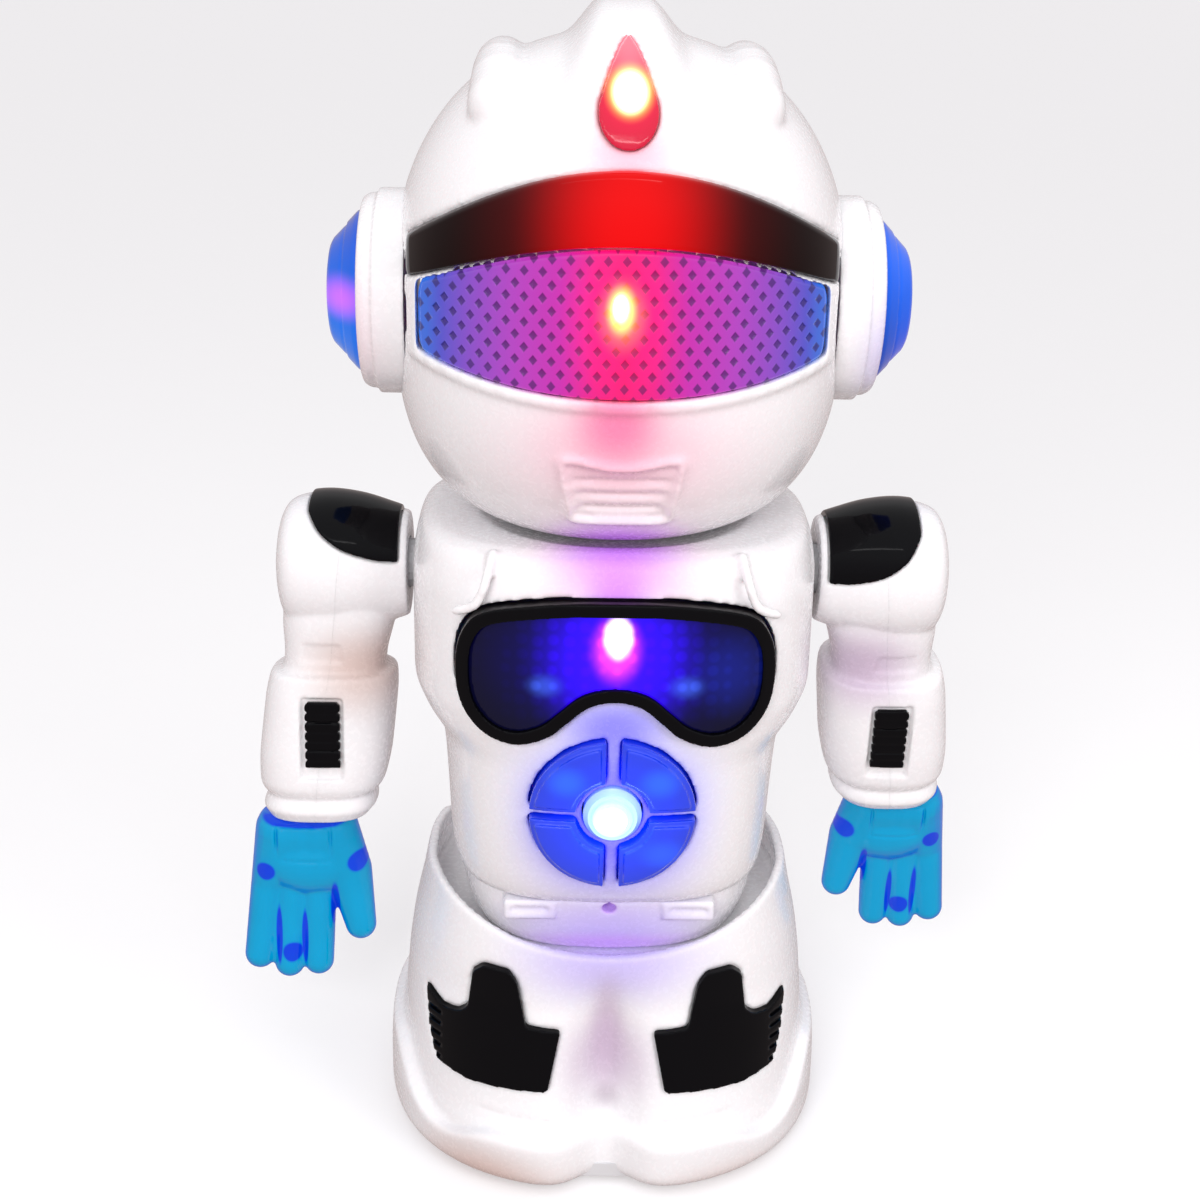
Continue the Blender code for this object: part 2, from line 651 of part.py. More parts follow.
def waist_ring(empties):
    """Belt with two square pads, and the flanged spindle on which the torso turns."""
    stations = ((DECK_Z + 0.6, 0.70), (51.5, 0.735), (56.0, 0.765), (TORSO_Z - GAP, 0.780))
    rings = []
    for z, wide in stations:
        deep = wide + 0.055
        rings.append(rounded_box(TORSO_HALF_X * wide, TORSO_FRONT * deep, TORSO_BACK * deep, z, 2.7, SIDES))
    ring = loft("waist_ring", rings)
    for side in (-1, 1):
        low_x, high_x = sorted((side * 11.0, side * 21.5))
        fuse(ring, box("pad", (low_x, -32.0, 57.0), (high_x, -24.0, TORSO_Z - GAP)))
    cut(ring, loft("well", [rounded_box(26.0, 26.0, 22.0, z, 2.7, 24) for z in (DECK_Z + 2.6, FAR)]))
    spindle = lathe(
        "spindle",
        [
            (0, DECK_Z - 5.2), (17.0, DECK_Z - 5.2), (17.0, DECK_Z - 2.6), (13.6, DECK_Z - 2.6),
            (13.6, DECK_Z + 1.6), (0, DECK_Z + 1.6),
        ],
        steps=18,
    )
    fuse(ring, spindle)
    cut(ring, rod("wire hole", 6.0, 40, 60))
    place(ring, "white_shell", "torso", empties)


def battery_parts(empties):
    """Tray, three AA cells one above the other, and the door on the back with its screw."""
    low, high = TRAY
    tray = box("battery_tray", low, high)
    pocket_low = (low[0] + 1.2, low[1] + 1.4, low[2] + 1.4)
    pocket_high = (high[0] - 1.2, FAR, high[2] - 1.4)
    cut(tray, box("pocket", pocket_low, pocket_high))
    place(tray, "black_plastic", "torso", empties)
    for i in range(3):
        half = CELL_LENGTH / 2
        profile = [(0, -half), (CELL_R, -half), (CELL_R, half - 1), (2.6, half - 1), (2.6, half), (0, half)]
        cell = lathe("battery_%d" % (i + 1), profile, "X", (0, CELL_Y, CELL_Z + i * CELL_PITCH), 14)
        place(cell, "cell", "torso", empties)
    door = keep(torso_skin("battery_door", 0.0), prism("outline", door_outline(GAP), "Y", 20, FAR))
    cut(door, torso_skin("core", -1.8))
    cut(door, rod("screw hole", 2.5 + GAP, 0, FAR, "Y", (0, 0, DOOR_SCREW_Z), 16))
    place(door, "white_shell", "torso", empties)
    screw = rod("battery_door_screw", 2.5, TORSO_BACK - 3.5, TORSO_BACK - 0.6, "Y", (0, 0, DOOR_SCREW_Z), 16)
    place(screw, "steel", "torso", empties)


def circuit_board(empties):
    board = box("circuit_board", (-24, 1.0, 68.0), (24, 2.6, 112.0))
    for x, z, half in ((-10, 80, 5), (9, 98, 7)):
        fuse(board, box("chip", (x - half, -1.0, z - half), (x + half, 1.5, z + half)))
    place(board, "circuit_green", "torso", empties)


def power_switch(empties):
    """Slider on the back, held behind its slot by a foot that is wider than the slot."""
    slider = box("power_slider", (-0.5, TORSO_BACK - 3.5, 120.8), (4.5, TORSO_BACK + 0.8, 123.2))
    fuse(slider, box("foot", (-1.0, TORSO_BACK - 5.6, 118.5), (5.0, TORSO_BACK - 3.2, 125.5)))
    place(slider, "black_plastic", "switch", empties)


# ---------------------------------------------------------------- head


def head_skin(name, grow=0.0, lift=(0.0, 0.0, 0.0)):
    """Egg-like head: rounder over the top than under the chin."""
    rings = []
    levels = 10
    for i in range(levels):
        angle = math.radians(-82 + 164 * i / (levels - 1))
        power = 2.25 if angle > 0 else 3.0
        semi = (HEAD_UP if angle > 0 else HEAD_DOWN) + grow
        z = HEAD_Z + math.copysign(semi * abs(math.sin(angle)) ** (2 / power), angle)
        share = math.cos(angle) ** (2 / power)
        half_x = (HEAD_HALF_X + grow) * share
        rings.append(rounded_box(half_x, (HEAD_FRONT + grow) * share, half_x, z, 2.15, SIDES))
    return moved(loft(name, rings), lift)


def arch(half_width, middle_z, side_z, steps=8):
    """Points of a parabola from side to side."""
    points = []
    for i in range(steps + 1):
        x = half_width * (2 * i / steps - 1)
        points.append((x, middle_z + (side_z - middle_z) * (x / half_width) ** 2))
    return points


def visor_outline():
    return arch(38.5, 169.5, 174.0) + arch(38.8, 195.3, 186.0)[::-1]


def brow_outline():
    return arch(40.3, 195.9, 186.2) + arch(40.0, 208.0, 193.4)[::-1]


def lamp_outline():
    """Teardrop with its point up."""
    round_end = arc(5.9, math.radians(-90), math.radians(25), 4, (0.0, 217.1))
    return both_sides(round_end + [(3.2, 224.0), (0.0, 229.3)])


def head_shells(empties):
    shell = head_skin("head")
    crest_half = [(5.0, 208.0), (7.5, 214.0), (5.0, 233.0), (3.4, 240.0)]
    crest = crest_half + mirrored(crest_half[::-1])
    fuse(shell, keep(head_skin("crest", 0, CREST_LIFT), prism("crest side", crest, "Y", -FAR, 22.0)))
    for side in (-1, 1):
        plan = bump_plan(side * BUMP_X)
        bump = keep(head_skin("bump", 0, BUMP_LIFT), prism("bump side", plan, "Z", 195.0, FAR * 3))
        fuse(shell, bump)
    cut(shell, head_skin("hollow", -WALL))
    cut(shell, rod("neck hole", NECK_R + GAP, 120, 150, steps=18))
    cut(shell, prism("visor window", grown(visor_outline(), GAP), "Y", -FAR, -6))
    brow_bed = prism("brow bed", grown(brow_outline(), GAP), "Y", -FAR, -6)
    cut(shell, cut(brow_bed, head_skin("bed floor", -1.0 - GAP)))
    lamp_bed = prism("lamp bed", grown(lamp_outline(), GAP), "Y", -FAR, -2.4)
    cut(shell, cut(lamp_bed, head_skin("bed floor", -2.0 - GAP, CREST_LIFT)))
    for side in (-1, 1):
        low, high = sorted((side * 37.0, side * FAR))
        cut(shell, rod("ear hole", EAR_RING_R + GAP, low, high, "X", (0, 0, EAR_Z), 24))
    for i in range(3):
        z = 147.0 + 2.9 * i
        half_x = 8.2 + 0.7 * i
        cut(shell, box("vent slot", (-half_x, -FAR, z), (half_x, -20, z + 1.3)))
    for half in halves(shell, ("head_front_shell", "head_rear_shell"), "Y"):
        place(half, "white_shell", "head", empties)


def bump_plan(x):
    """Capsule seen from above."""
    front = arc(BUMP_R, math.pi, math.tau, 5, (x, -21.0))
    back = arc(BUMP_R, 0.0, math.pi, 5, (x, 2.0))
    return front + back


def visor_parts(empties):
    lens = inlay("visor_lens", head_skin, visor_outline(), 0.4, 1.4)
    place(lens, "visor_blue", "head", empties)
    brow = inlay("visor_brow", head_skin, brow_outline(), 1.0, 1.0)
    place(brow, "smoked_red", "head", empties)
    behind = arch(30.0, 168.0, 172.0) + arch(30.0, 196.0, 190.0)[::-1]
    reflector = inlay("visor_reflector", head_skin, behind, -4.5, 6.0)
    place(reflector, "reflector", "head", empties)


def crest_lamp(empties):
    def crest_skin(name, grow):
        return head_skin(name, grow, CREST_LIFT)

    lamp = inlay("crest_lamp", crest_skin, lamp_outline(), 1.0, 2.0, behind=-3.0)
    place(lamp, "lamp_red", "head", empties)


def ears(empties):
    """A white cup with a stepped rim on each side of the head, and a blunt blue cone in it."""
    for side, sign in (("left", 1), ("right", -1)):
        cup = [
            (0, 40.6), (EAR_RING_R, 40.6), (EAR_RING_R, 48.6), (EAR_RING_R - 1.2, 49.8),
            (EAR_LENS_R + 1.0, 49.8), (EAR_LENS_R + GAP, 48.8), (EAR_LENS_R + GAP, 42.0), (0, 42.0),
        ]  # fmt: skip
        cone = [
            (0, 42.3), (EAR_LENS_R, 42.3), (EAR_LENS_R, 50.4), (13.4, 53.4), (9.6, 55.9),
            (6.6, 56.5), (0, 56.5),
        ]  # fmt: skip
        ring = lathe("ear_ring_" + side, [(r, sign * x) for r, x in cup], "X", (0, 0, EAR_Z), 24)
        lens = lathe("ear_lens_" + side, [(r, sign * x) for r, x in cone], "X", (0, 0, EAR_Z), 24)
        place(ring, "white_shell", "head", empties)
        place(lens, "lens_blue", "head", empties)


def speaker(empties):
    cone = [(0, -28.0), (10.5, -28.0), (10.5, -26.0), (7.0, -22.5), (7.0, -18.5), (0, -18.5)]
    place(lathe("speaker", cone, "Y", (0, 0, 152.5), 16), "black_plastic", "head", empties)


def neck_spindle(empties):
    """Spool through the head's floor and the torso's dish, with a hole for the wires."""
    floor = HEAD_Z - HEAD_DOWN
    profile = [
        (4.0, 126.8), (12.0, 126.8), (12.0, 128.8), (NECK_R, 128.8), (NECK_R, floor + WALL + 0.6),
        (12.0, floor + WALL + 0.6), (12.0, floor + WALL + 2.6), (4.0, floor + WALL + 2.6),
    ]  # fmt: skip
    place(lathe("neck_spindle", profile, steps=18), "grey_plastic", "head", empties)


# ---------------------------------------------------------------- arms


def arm_centre(z):
    return ARM_X + (SHOULDER_AXIS_Z - z) * SPLAY


def barrel_skin(name, sign, grow=0.0):
    profile = (
        (0, BARREL_IN_X - grow), (10.8 + grow, BARREL_IN_X - grow), (12.0 + grow, 45.5),
        (13.9 + grow, 52.0), (BARREL_R + grow, 59.0), (13.4 + grow, 65.2), (10.4 + grow, 67.8),
        (5.2 + grow, BARREL_OUT_X - 0.3 + grow),
        (0, BARREL_OUT_X + grow),
    )  # fmt: skip
    return lathe(name, [(r, sign * x) for r, x in profile], "X", (0, 0, SHOULDER_AXIS_Z), ARM_SIDES)


def limb_skin(name, sign, grow=0.0):
    """Upper arm, gauntlet and wrist ring in one lofted form."""
    stations = (
        # height, half width, half depth
        (WRIST_Z - grow, 10.4, 10.4),
        (WRIST_Z + 5.6, 11.4, 11.4),
        (WRIST_Z + 6.6, 13.0, 12.8),
        (82.0, 13.6, 13.4),
        (94.5, 13.7, 13.4),
        (100.3, 13.0, 12.6),
        (102.0, 11.6, 11.4),
        (112.0, 12.0, 12.0),
        (SHOULDER_AXIS_Z + grow, 12.0, 12.2),
    )
    rings = []
    for z, half_x, half_y in stations:
        centre = sign * arm_centre(z)
        rings.append(rounded_box(half_x + grow, half_y + grow, half_y + grow, z, 2.7, ARM_SIDES, centre))
    return loft(name, rings)


def forearm_patch_outline(sign):
    centre = sign * arm_centre(90.0)
    half_x = 3.9
    low = 82.0
    high = 96.0
    return [
        (centre - half_x, low), (centre + half_x, low), (centre + half_x, high), (centre - half_x, high),
    ]  # fmt: skip


def shoulder_saddle(name, sign, margin=0.0):
    """Saddle over the barrel, deepest beside the torso, in which the black patch lies."""
    inner_x = BARREL_IN_X + 1.6
    above = SHOULDER_AXIS_Z + 30.0
    edge = [(inner_x, 124.8), (48.5, 125.4), (54.5, 127.4), (59.0, 130.6), (61.8, 134.6)]
    outline = grown(edge + [(61.8, above), (inner_x, above)], margin)
    return prism(name, [(sign * x, z) for x, z in outline], "Y", -FAR, FAR)


def arm(side, sign, empties):
    body = side + "_arm"
    shell = fuse(barrel_skin("arm", sign), limb_skin("limb", sign))
    hollow = fuse(barrel_skin("hollow", sign, -WALL), limb_skin("inside", sign, -WALL))
    cut(shell, hollow)
    inner_end = sorted((sign * 30.0, sign * 50.0))
    cut(shell, rod("axle hole", AXLE_R + GAP, *inner_end, "X", (0, 0, SHOULDER_AXIS_Z), 16))
    wrist_x = sign * arm_centre(WRIST_Z)
    cut(shell, rod("wrist hole", 6.0 + GAP, WRIST_Z - 5, WRIST_Z + 3.5, "Z", (wrist_x, 0, 0), 20))
    shoulder_bed = cut(shoulder_saddle("bed", sign, GAP), barrel_skin("floor", sign, -0.8 - GAP))
    cut(shell, shoulder_bed)
    forearm_bed = prism("bed", grown(forearm_patch_outline(sign), GAP), "Y", -FAR, -4)
    cut(shell, cut(forearm_bed, limb_skin("floor", sign, -0.8 - GAP)))
    names = (body + "_inner_shell", body + "_outer_shell")[::sign]
    lean = sign * SPLAY
    parting_x = sign * ARM_X + lean * SHOULDER_AXIS_Z
    for half in halves(shell, names, "X", parting_x, lean):
        place(half, "white_shell", body, empties)


def arm_patches(side, sign, empties):
    """Black inlays on the shoulder and on the forearm."""
    body = side + "_arm"
    shoulder = keep(barrel_skin(side + "_shoulder_patch", sign, 0.8), shoulder_saddle("lid", sign))
    cut(shoulder, barrel_skin("core", sign, -0.8))
    place(shoulder, "black_gloss", body, empties)
    outline = prism("outline", forearm_patch_outline(sign), "Y", -FAR, -4)
    forearm = keep(limb_skin(side + "_forearm_patch", sign, 0.7), outline)
    cut(forearm, limb_skin("core", sign, -0.8))
    place(forearm, "black_gloss", body, empties)


def shoulder_axle(side, sign, empties):
    """Spool between the torso's wall and the arm's."""
    low, high = AXLE_ENDS
    flange_r = AXLE_R + 3.0
    profile = [
        (0, low), (flange_r, low), (flange_r, low + 2.4), (AXLE_R, low + 2.4), (AXLE_R, high - 2.0),
        (flange_r, high - 2.0), (flange_r, high), (0, high),
    ]  # fmt: skip
    profile = [(r, sign * x) for r, x in profile]
    axle = lathe(side + "_shoulder_axle", profile, "X", (0, 0, SHOULDER_AXIS_Z), 16)
    place(axle, "grey_plastic", side + "_arm", empties)


def hand_outline(sign):
    """Open hand seen from the front: three fingers on the outer side, the thumb towards the body."""
    wrist = WRIST_Z - GAP
    tip = HAND_TIP_Z
    outer_side = [
        (-10.2, wrist), (-13.6, wrist - 5.0), (-14.5, wrist - 14.5), (-14.2, tip + 12.0), (-12.6, tip + 6.6),
        (-10.2, tip + 5.7), (-7.6, tip + 8.2), (-6.2, tip + 13.4), (-5.2, tip + 9.0), (-5.0, tip + 3.4),
        (-3.2, tip + 0.7), (0.0, tip), (1.4, tip + 1.8), (2.8, tip), (6.6, tip), (8.0, tip + 2.0),
        (9.4, tip + 0.4), (12.8, tip + 1.6), (14.3, tip + 5.7), (14.5, wrist - 17.0), (13.4, wrist - 5.5),
        (10.2, wrist),
    ]  # fmt: skip
    centre = arm_centre(58.0) + HAND_SHIFT
    return [(sign * (centre + x), z) for x, z in outer_side]


def hand(side, sign, empties):
    palm = prism("palm", hand_outline(sign), "Y", -HAND_HALF_Y, HAND_HALF_Y)
    soften = palm.modifiers.new("soften", "BEVEL")
    soften.width = 2.4
    soften.segments = 1
    soften.limit_method = "ANGLE"
    soften.angle_limit = math.radians(60)
    wrist_x = sign * arm_centre(WRIST_Z)
    rim = WRIST_Z + WALL + GAP + 0.6
    stub = [(0, WRIST_Z - 3), (6.0, WRIST_Z - 3), (6.0, rim), (7.6, rim), (7.6, rim + 2.0), (0, rim + 2.0)]
    fuse(palm, lathe("stub", stub, "Z", (wrist_x, 0, 0), 16))
    for half in halves(palm, (side + "_hand_front", side + "_hand_rear"), "Y"):
        place(half, "hand_blue", side + "_arm", empties)


# ---------------------------------------------------------------- robot


def build():
    clear_scene()
    empties = make_bodies()
    leg_shells(empties)
    base_plate(empties)
    bridge(empties)
    rollers(empties)
    turntable(empties)
    gear_frame(empties)
    drive_motor(empties)
    drive_wheels(empties)
    waist_ring(empties)
    torso_shells(empties)
    chest_lens(empties)
    emblem(empties)
    battery_parts(empties)
    circuit_board(empties)
    power_switch(empties)
    head_shells(empties)
    visor_parts(empties)
    crest_lamp(empties)
    ears(empties)
    speaker(empties)
    neck_spindle(empties)
    for side, sign in (("left", 1), ("right", -1)):
        arm(side, sign, empties)
        arm_patches(side, sign, empties)
        shoulder_axle(side, sign, empties)
        hand(side, sign, empties)


build()
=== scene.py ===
"""Looks of the toy robot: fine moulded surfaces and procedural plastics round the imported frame.

Visible mouldings are made again here as smooth, soft-edged solids, in millimetres, at the places and
sizes that the frame gives. They stand for their faceted CAD nodes. Hidden and small hard pieces stay
the CAD nodes themselves, with better materials.
"""

import json
import math

import bmesh
import bpy
from mathutils import Matrix, Vector


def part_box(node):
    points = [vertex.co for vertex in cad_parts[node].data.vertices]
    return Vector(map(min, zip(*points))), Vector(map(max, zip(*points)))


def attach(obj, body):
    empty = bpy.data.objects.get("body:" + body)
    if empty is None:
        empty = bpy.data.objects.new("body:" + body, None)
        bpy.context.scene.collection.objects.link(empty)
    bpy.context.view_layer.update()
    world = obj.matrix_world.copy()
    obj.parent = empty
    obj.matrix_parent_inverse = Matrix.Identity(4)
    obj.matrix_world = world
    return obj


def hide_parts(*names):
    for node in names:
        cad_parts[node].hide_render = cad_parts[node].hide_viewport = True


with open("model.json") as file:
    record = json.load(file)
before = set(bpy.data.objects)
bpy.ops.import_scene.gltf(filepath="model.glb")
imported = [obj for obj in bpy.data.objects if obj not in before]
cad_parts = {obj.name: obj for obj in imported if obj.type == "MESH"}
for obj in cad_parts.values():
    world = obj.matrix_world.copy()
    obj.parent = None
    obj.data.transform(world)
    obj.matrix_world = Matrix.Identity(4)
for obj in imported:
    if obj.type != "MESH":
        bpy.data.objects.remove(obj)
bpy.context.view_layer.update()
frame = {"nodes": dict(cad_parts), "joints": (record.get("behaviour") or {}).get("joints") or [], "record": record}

MM = 0.001  # metres in a millimetre
FAR = 200.0  # reach of a cutter that goes right through
GAP = 0.3  # line between neighbouring mouldings
LENS_GAP = 0.12  # finer line round the crest lamp
SEAM = 0.02  # hairline between the two halves of a moulding
WALL = 2.0  # thickness of the shells
BLACK = (0.0, 0.0, 0.0)
SIDES = {"left": 1, "right": -1}


# ---------------------------------------------------------------- sizes read from the frame


def span(*nodes):
    """Lowest and highest corner of these CAD nodes together, in millimetres."""
    boxes = [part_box(node) for node in nodes]
    low = Vector([min(b[0][i] for b in boxes) for i in range(3)]) / MM
    high = Vector([max(b[1][i] for b in boxes) for i in range(3)]) / MM
    return low, high


def joint_place(name):
    """Where this joint is, in millimetres."""
    found = next(j for j in frame["joints"] if j["name"] == name)
    return Vector(found["pos_m"]) / MM


LEGS_LOW, LEGS_HIGH = span("legs_front_shell", "legs_rear_shell")
TORSO_LOW, TORSO_HIGH = span("torso_front_shell", "torso_rear_shell")
VISOR_LOW, VISOR_HIGH = span("visor_lens")
BROW_LOW, BROW_HIGH = span("visor_brow")
LAMP_LOW, LAMP_HIGH = span("crest_lamp")
CHEST_LOW = span("chest_bezel")[0]
PADS_LOW, PADS_HIGH = span("emblem_pads")
DOOR_LOW, DOOR_HIGH = span("battery_door")

SOLE_Z = LEGS_LOW.z
TOE_FRONT = LEGS_HIGH.x * 1.017  # where the toes would end without the cleft
CLEFT_DEPTH = 7.5
CLEFT_WIDTH = 7.0
LEG_POWER = 2.35  # powers of the level superellipses: 2 is round, more is squarer
TORSO_POWER = 3.0
HEAD_POWER = 2.15
TRIM_POWER = 2.7  # belt and arms
ROOF_POWER = 2.25  # powers of the head's outline from the front, above and below its widest level
CHIN_POWER = 3.0
NECK_HOLE_R = 9.3
AXLE_HOLE_R = 5.3
NECK_Z = joint_place("neck_turn").z
HEAD_Z = NECK_Z + 46.0  # height of the head's widest level
HEAD_HALF_X = 44.0
HEAD_FRONT = 46.0
HEAD_UP = 49.0
HEAD_DOWN = HEAD_Z - NECK_Z
CREST_LIFT = Vector((0.0, 3.5, 6.0))  # how far the crest stands back and up from the head
EMBLEM = Vector((0.0, 0.0, (PADS_LOW.z + PADS_HIGH.z) / 2))
EMBLEM_R = 16.7
EMBLEM_LAMP_R = 5.75
EAR_Z = (span("ear_ring_left")[0].z + span("ear_ring_left")[1].z) / 2
SHOULDER_Z = joint_place("left_shoulder").z


# ---------------------------------------------------------------- mesh tools


def as_object(name, bm):
    """A scene object of this mesh, with its faces turned outwards."""
    bmesh.ops.recalc_face_normals(bm, faces=bm.faces)
    mesh = bpy.data.meshes.new(name)
    bm.to_mesh(mesh)
    bm.free()
    obj = bpy.data.objects.new(name, mesh)
    bpy.context.scene.collection.objects.link(obj)
    return obj


def skin_faces(bm, loops):
    """Quads between neighbouring loops of points. A loop of one point is a pole."""
    for low, high in zip(loops, loops[1:]):
        for i in range(max(len(low), len(high))):
            j = i + 1
            corners = [low[i % len(low)], low[j % len(low)], high[j % len(high)], high[i % len(high)]]
            bm.faces.new(list(dict.fromkeys(corners)))


def loft(name, rings):
    """Solid skinned over rings of as many points each, closed at both ends."""
    bm = bmesh.new()
    loops = [[bm.verts.new(point) for point in ring] for ring in rings]
    skin_faces(bm, loops)
    bm.faces.new(loops[0])
    bm.faces.new(loops[-1])
    return as_object(name, bm)


def on_axis(axis, across, up, along):
    return {"X": (along, across, up), "Y": (across, along, up), "Z": (across, up, along)}[axis]


def lathe(name, profile, axis="Z", centre=(0, 0, 0), steps=96):
    """Solid turned from (radius, distance along the axis)."""
    bm = bmesh.new()
    loops = []
    for radius, along in profile:
        loop = []
        for i in range(steps if radius > 0 else 1):
            angle = math.tau * i / steps
            spot = on_axis(axis, radius * math.cos(angle), radius * math.sin(angle), along)
            loop.append(bm.verts.new(Vector(spot) + Vector(centre)))
        loops.append(loop)
    if len(loops[0]) > 1:
        loops.append(loops[0])
    skin_faces(bm, loops)
    return as_object(name, bm)


def rectangle(low_x, high_x, low_z, high_z):
    return [(low_x, low_z), (high_x, low_z), (high_x, high_z), (low_x, high_z)]


def arc(radius_x, radius_z, start, end, steps):
    """Points along an ellipse between two angles in radians."""
    turns = [start + (end - start) * i / steps for i in range(steps + 1)]
    return [(radius_x * math.cos(turn), radius_z * math.sin(turn)) for turn in turns]


def rod(name, radius, low, high, axis="Z", centre=(0, 0, 0), steps=64):
    return lathe(name, [(0, low), (radius, low), (radius, high), (0, high)], axis, centre, steps)


def prism(name, outline, axis, low, high):
    """The outline drawn out along an axis."""
    ends = [[on_axis(axis, across, up, along) for across, up in outline] for along in (low, high)]
    return loft(name, ends)


def box(name, low, high):
    return prism(name, rectangle(low[0], high[0], low[1], high[1]), "Z", low[2], high[2])


def ball(name, centre, radii, steps=32):
    bm = bmesh.new()
    bmesh.ops.create_uvsphere(bm, u_segments=steps, v_segments=steps // 2, radius=1.0)
    bm.transform(Matrix.Translation(centre) @ Matrix.Diagonal((*radii, 1.0)))
    return as_object(name, bm)


def capsule(name, path, radii):
    """A row of overlapping balls along a path, which a voxel remesh melts into one form."""
    parts = []
    for (start, end), (r0, r1) in zip(zip(path, path[1:]), zip(radii, radii[1:])):
        count = max(2, int((Vector(end) - Vector(start)).length / (0.3 * min(r0, r1))))
        for i in range(count + 1):
            share = i / count
            radius = r0 + (r1 - r0) * share
            parts.append(ball("bead", Vector(start).lerp(Vector(end), share), (radius,) * 3, 20))
    return join(name, parts)


def evaluated(obj):
    """The object with its modifiers worked into its mesh."""
    graph = bpy.context.evaluated_depsgraph_get()
    mesh = bpy.data.meshes.new_from_object(obj.evaluated_get(graph))
    obj.modifiers.clear()
    obj.data = mesh
    return obj


def combine(obj, other, operation):
    """Boolean that uses up the other object."""
    modifier = obj.modifiers.new(operation, "BOOLEAN")
    modifier.operation = operation
    modifier.object = other
    modifier.solver = "MANIFOLD"
    evaluated(obj)
    bpy.data.objects.remove(other, do_unlink=True)
    return obj


def cut(obj, *others):
    for other in others:
        combine(obj, other, "DIFFERENCE")
    return obj


def keep(obj, other):
    return combine(obj, other, "INTERSECT")


def fuse(obj, *others):
    for other in others:
        combine(obj, other, "UNION")
    return obj


def join(name, parts):
    """One mesh of overlapping closed forms, to be melted by soften()."""
    bm = bmesh.new()
    for part in parts:
        bm.from_mesh(part.data)
        bpy.data.objects.remove(part, do_unlink=True)
    return as_object(name, bm)


def soften(obj, voxel, passes):
    """Rounds every edge: a voxel remesh, then a few passes of smoothing."""
    remesh = obj.modifiers.new("remesh", "REMESH")
    remesh.mode = "VOXEL"
    remesh.voxel_size = voxel
    smooth = obj.modifiers.new("smooth", "SMOOTH")
    smooth.iterations = passes
    return evaluated(obj)


def copy_of(obj, name):
    twin = obj.copy()
    twin.data = obj.data.copy()
    twin.name = name
    bpy.context.scene.collection.objects.link(twin)
    return twin


def moved(obj, offset):
    obj.data.transform(Matrix.Translation(offset))
    return obj


def halves(obj, axis, at=0.0, slope=0.0):
    """Splits a moulding at its parting plane, which may lean outwards going down."""
    made = []
    for side in (-1, 1):
        half = copy_of(obj, "half")
        near = side * SEAM / 2
        plane = [(at + near - slope * z, z) for z in (-FAR, 2 * FAR)]
        far = [(at + side * FAR, 2 * FAR), (at + side * FAR, -FAR)]
        keep(half, prism("side", plane + far, "Y" if axis == "X" else "X", -FAR, FAR))
        made.append(half)
    bpy.data.objects.remove(obj, do_unlink=True)
    return made


def grown(outline, amount):
    """The outline with each corner moved out along the bisector of its sides."""
    area = sum(a[0] * b[1] - b[0] * a[1] for a, b in zip(outline, outline[1:] + outline[:1]))
    turn = 1 if area > 0 else -1
    corners = []
    for i, here in enumerate(outline):
        normals = []
        for start, end in ((outline[i - 1], here), (here, outline[(i + 1) % len(outline)])):
            length = math.hypot(end[0] - start[0], end[1] - start[1])
            normals.append(((end[1] - start[1]) / length * turn, (start[0] - end[0]) / length * turn))
        across = (normals[0][0] + normals[1][0], normals[0][1] + normals[1][1])
        reach = 2 * amount / max(across[0] ** 2 + across[1] ** 2, 1.0)
        corners.append((here[0] + across[0] * reach, here[1] + across[1] * reach))
    return corners


def mirrored(outline):
    return [(-x, z) for x, z in outline]


def both_sides(right_half):
    return right_half + [(-x, z) for x, z in reversed(right_half[1:-1])]


def rounded(outline, radius, steps=5):
    """The outline with each corner turned into an arc of up to this radius."""
    made = []
    for i, corner in enumerate(outline):
        corner = Vector(corner)
        before = Vector(outline[i - 1]) - corner
        after = Vector(outline[(i + 1) % len(outline)]) - corner
        reach = min(radius, before.length / 2, after.length / 2)
        start = corner + before.normalized() * reach
        end = corner + after.normalized() * reach
        for step in range(steps + 1):
            share = step / steps
            made.append(tuple(start.lerp(corner, share).lerp(corner.lerp(end, share), share)))
    return list(dict.fromkeys((round(x, 4), round(z, 4)) for x, z in made))


def curved(points, steps=6, closed=True):
    """Catmull-Rom curve through the points."""
    count = len(points)
    made = []
    for i in range(count if closed else count - 1):
        picks = (i - 1, i, i + 1, i + 2)
        if closed:
            near = [Vector(points[j % count]) for j in picks]
        else:
            near = [Vector(points[min(max(j, 0), count - 1)]) for j in picks]
        for step in range(steps):
            t = step / steps
            spot = near[1] * 2 + (near[2] - near[0]) * t
            spot += (near[0] * 2 - near[1] * 5 + near[2] * 4 - near[3]) * t**2
            spot += (near[1] * 3 - near[0] - near[2] * 3 + near[3]) * t**3
            made.append(tuple(spot / 2))
    return made if closed else made + [tuple(points[-1])]


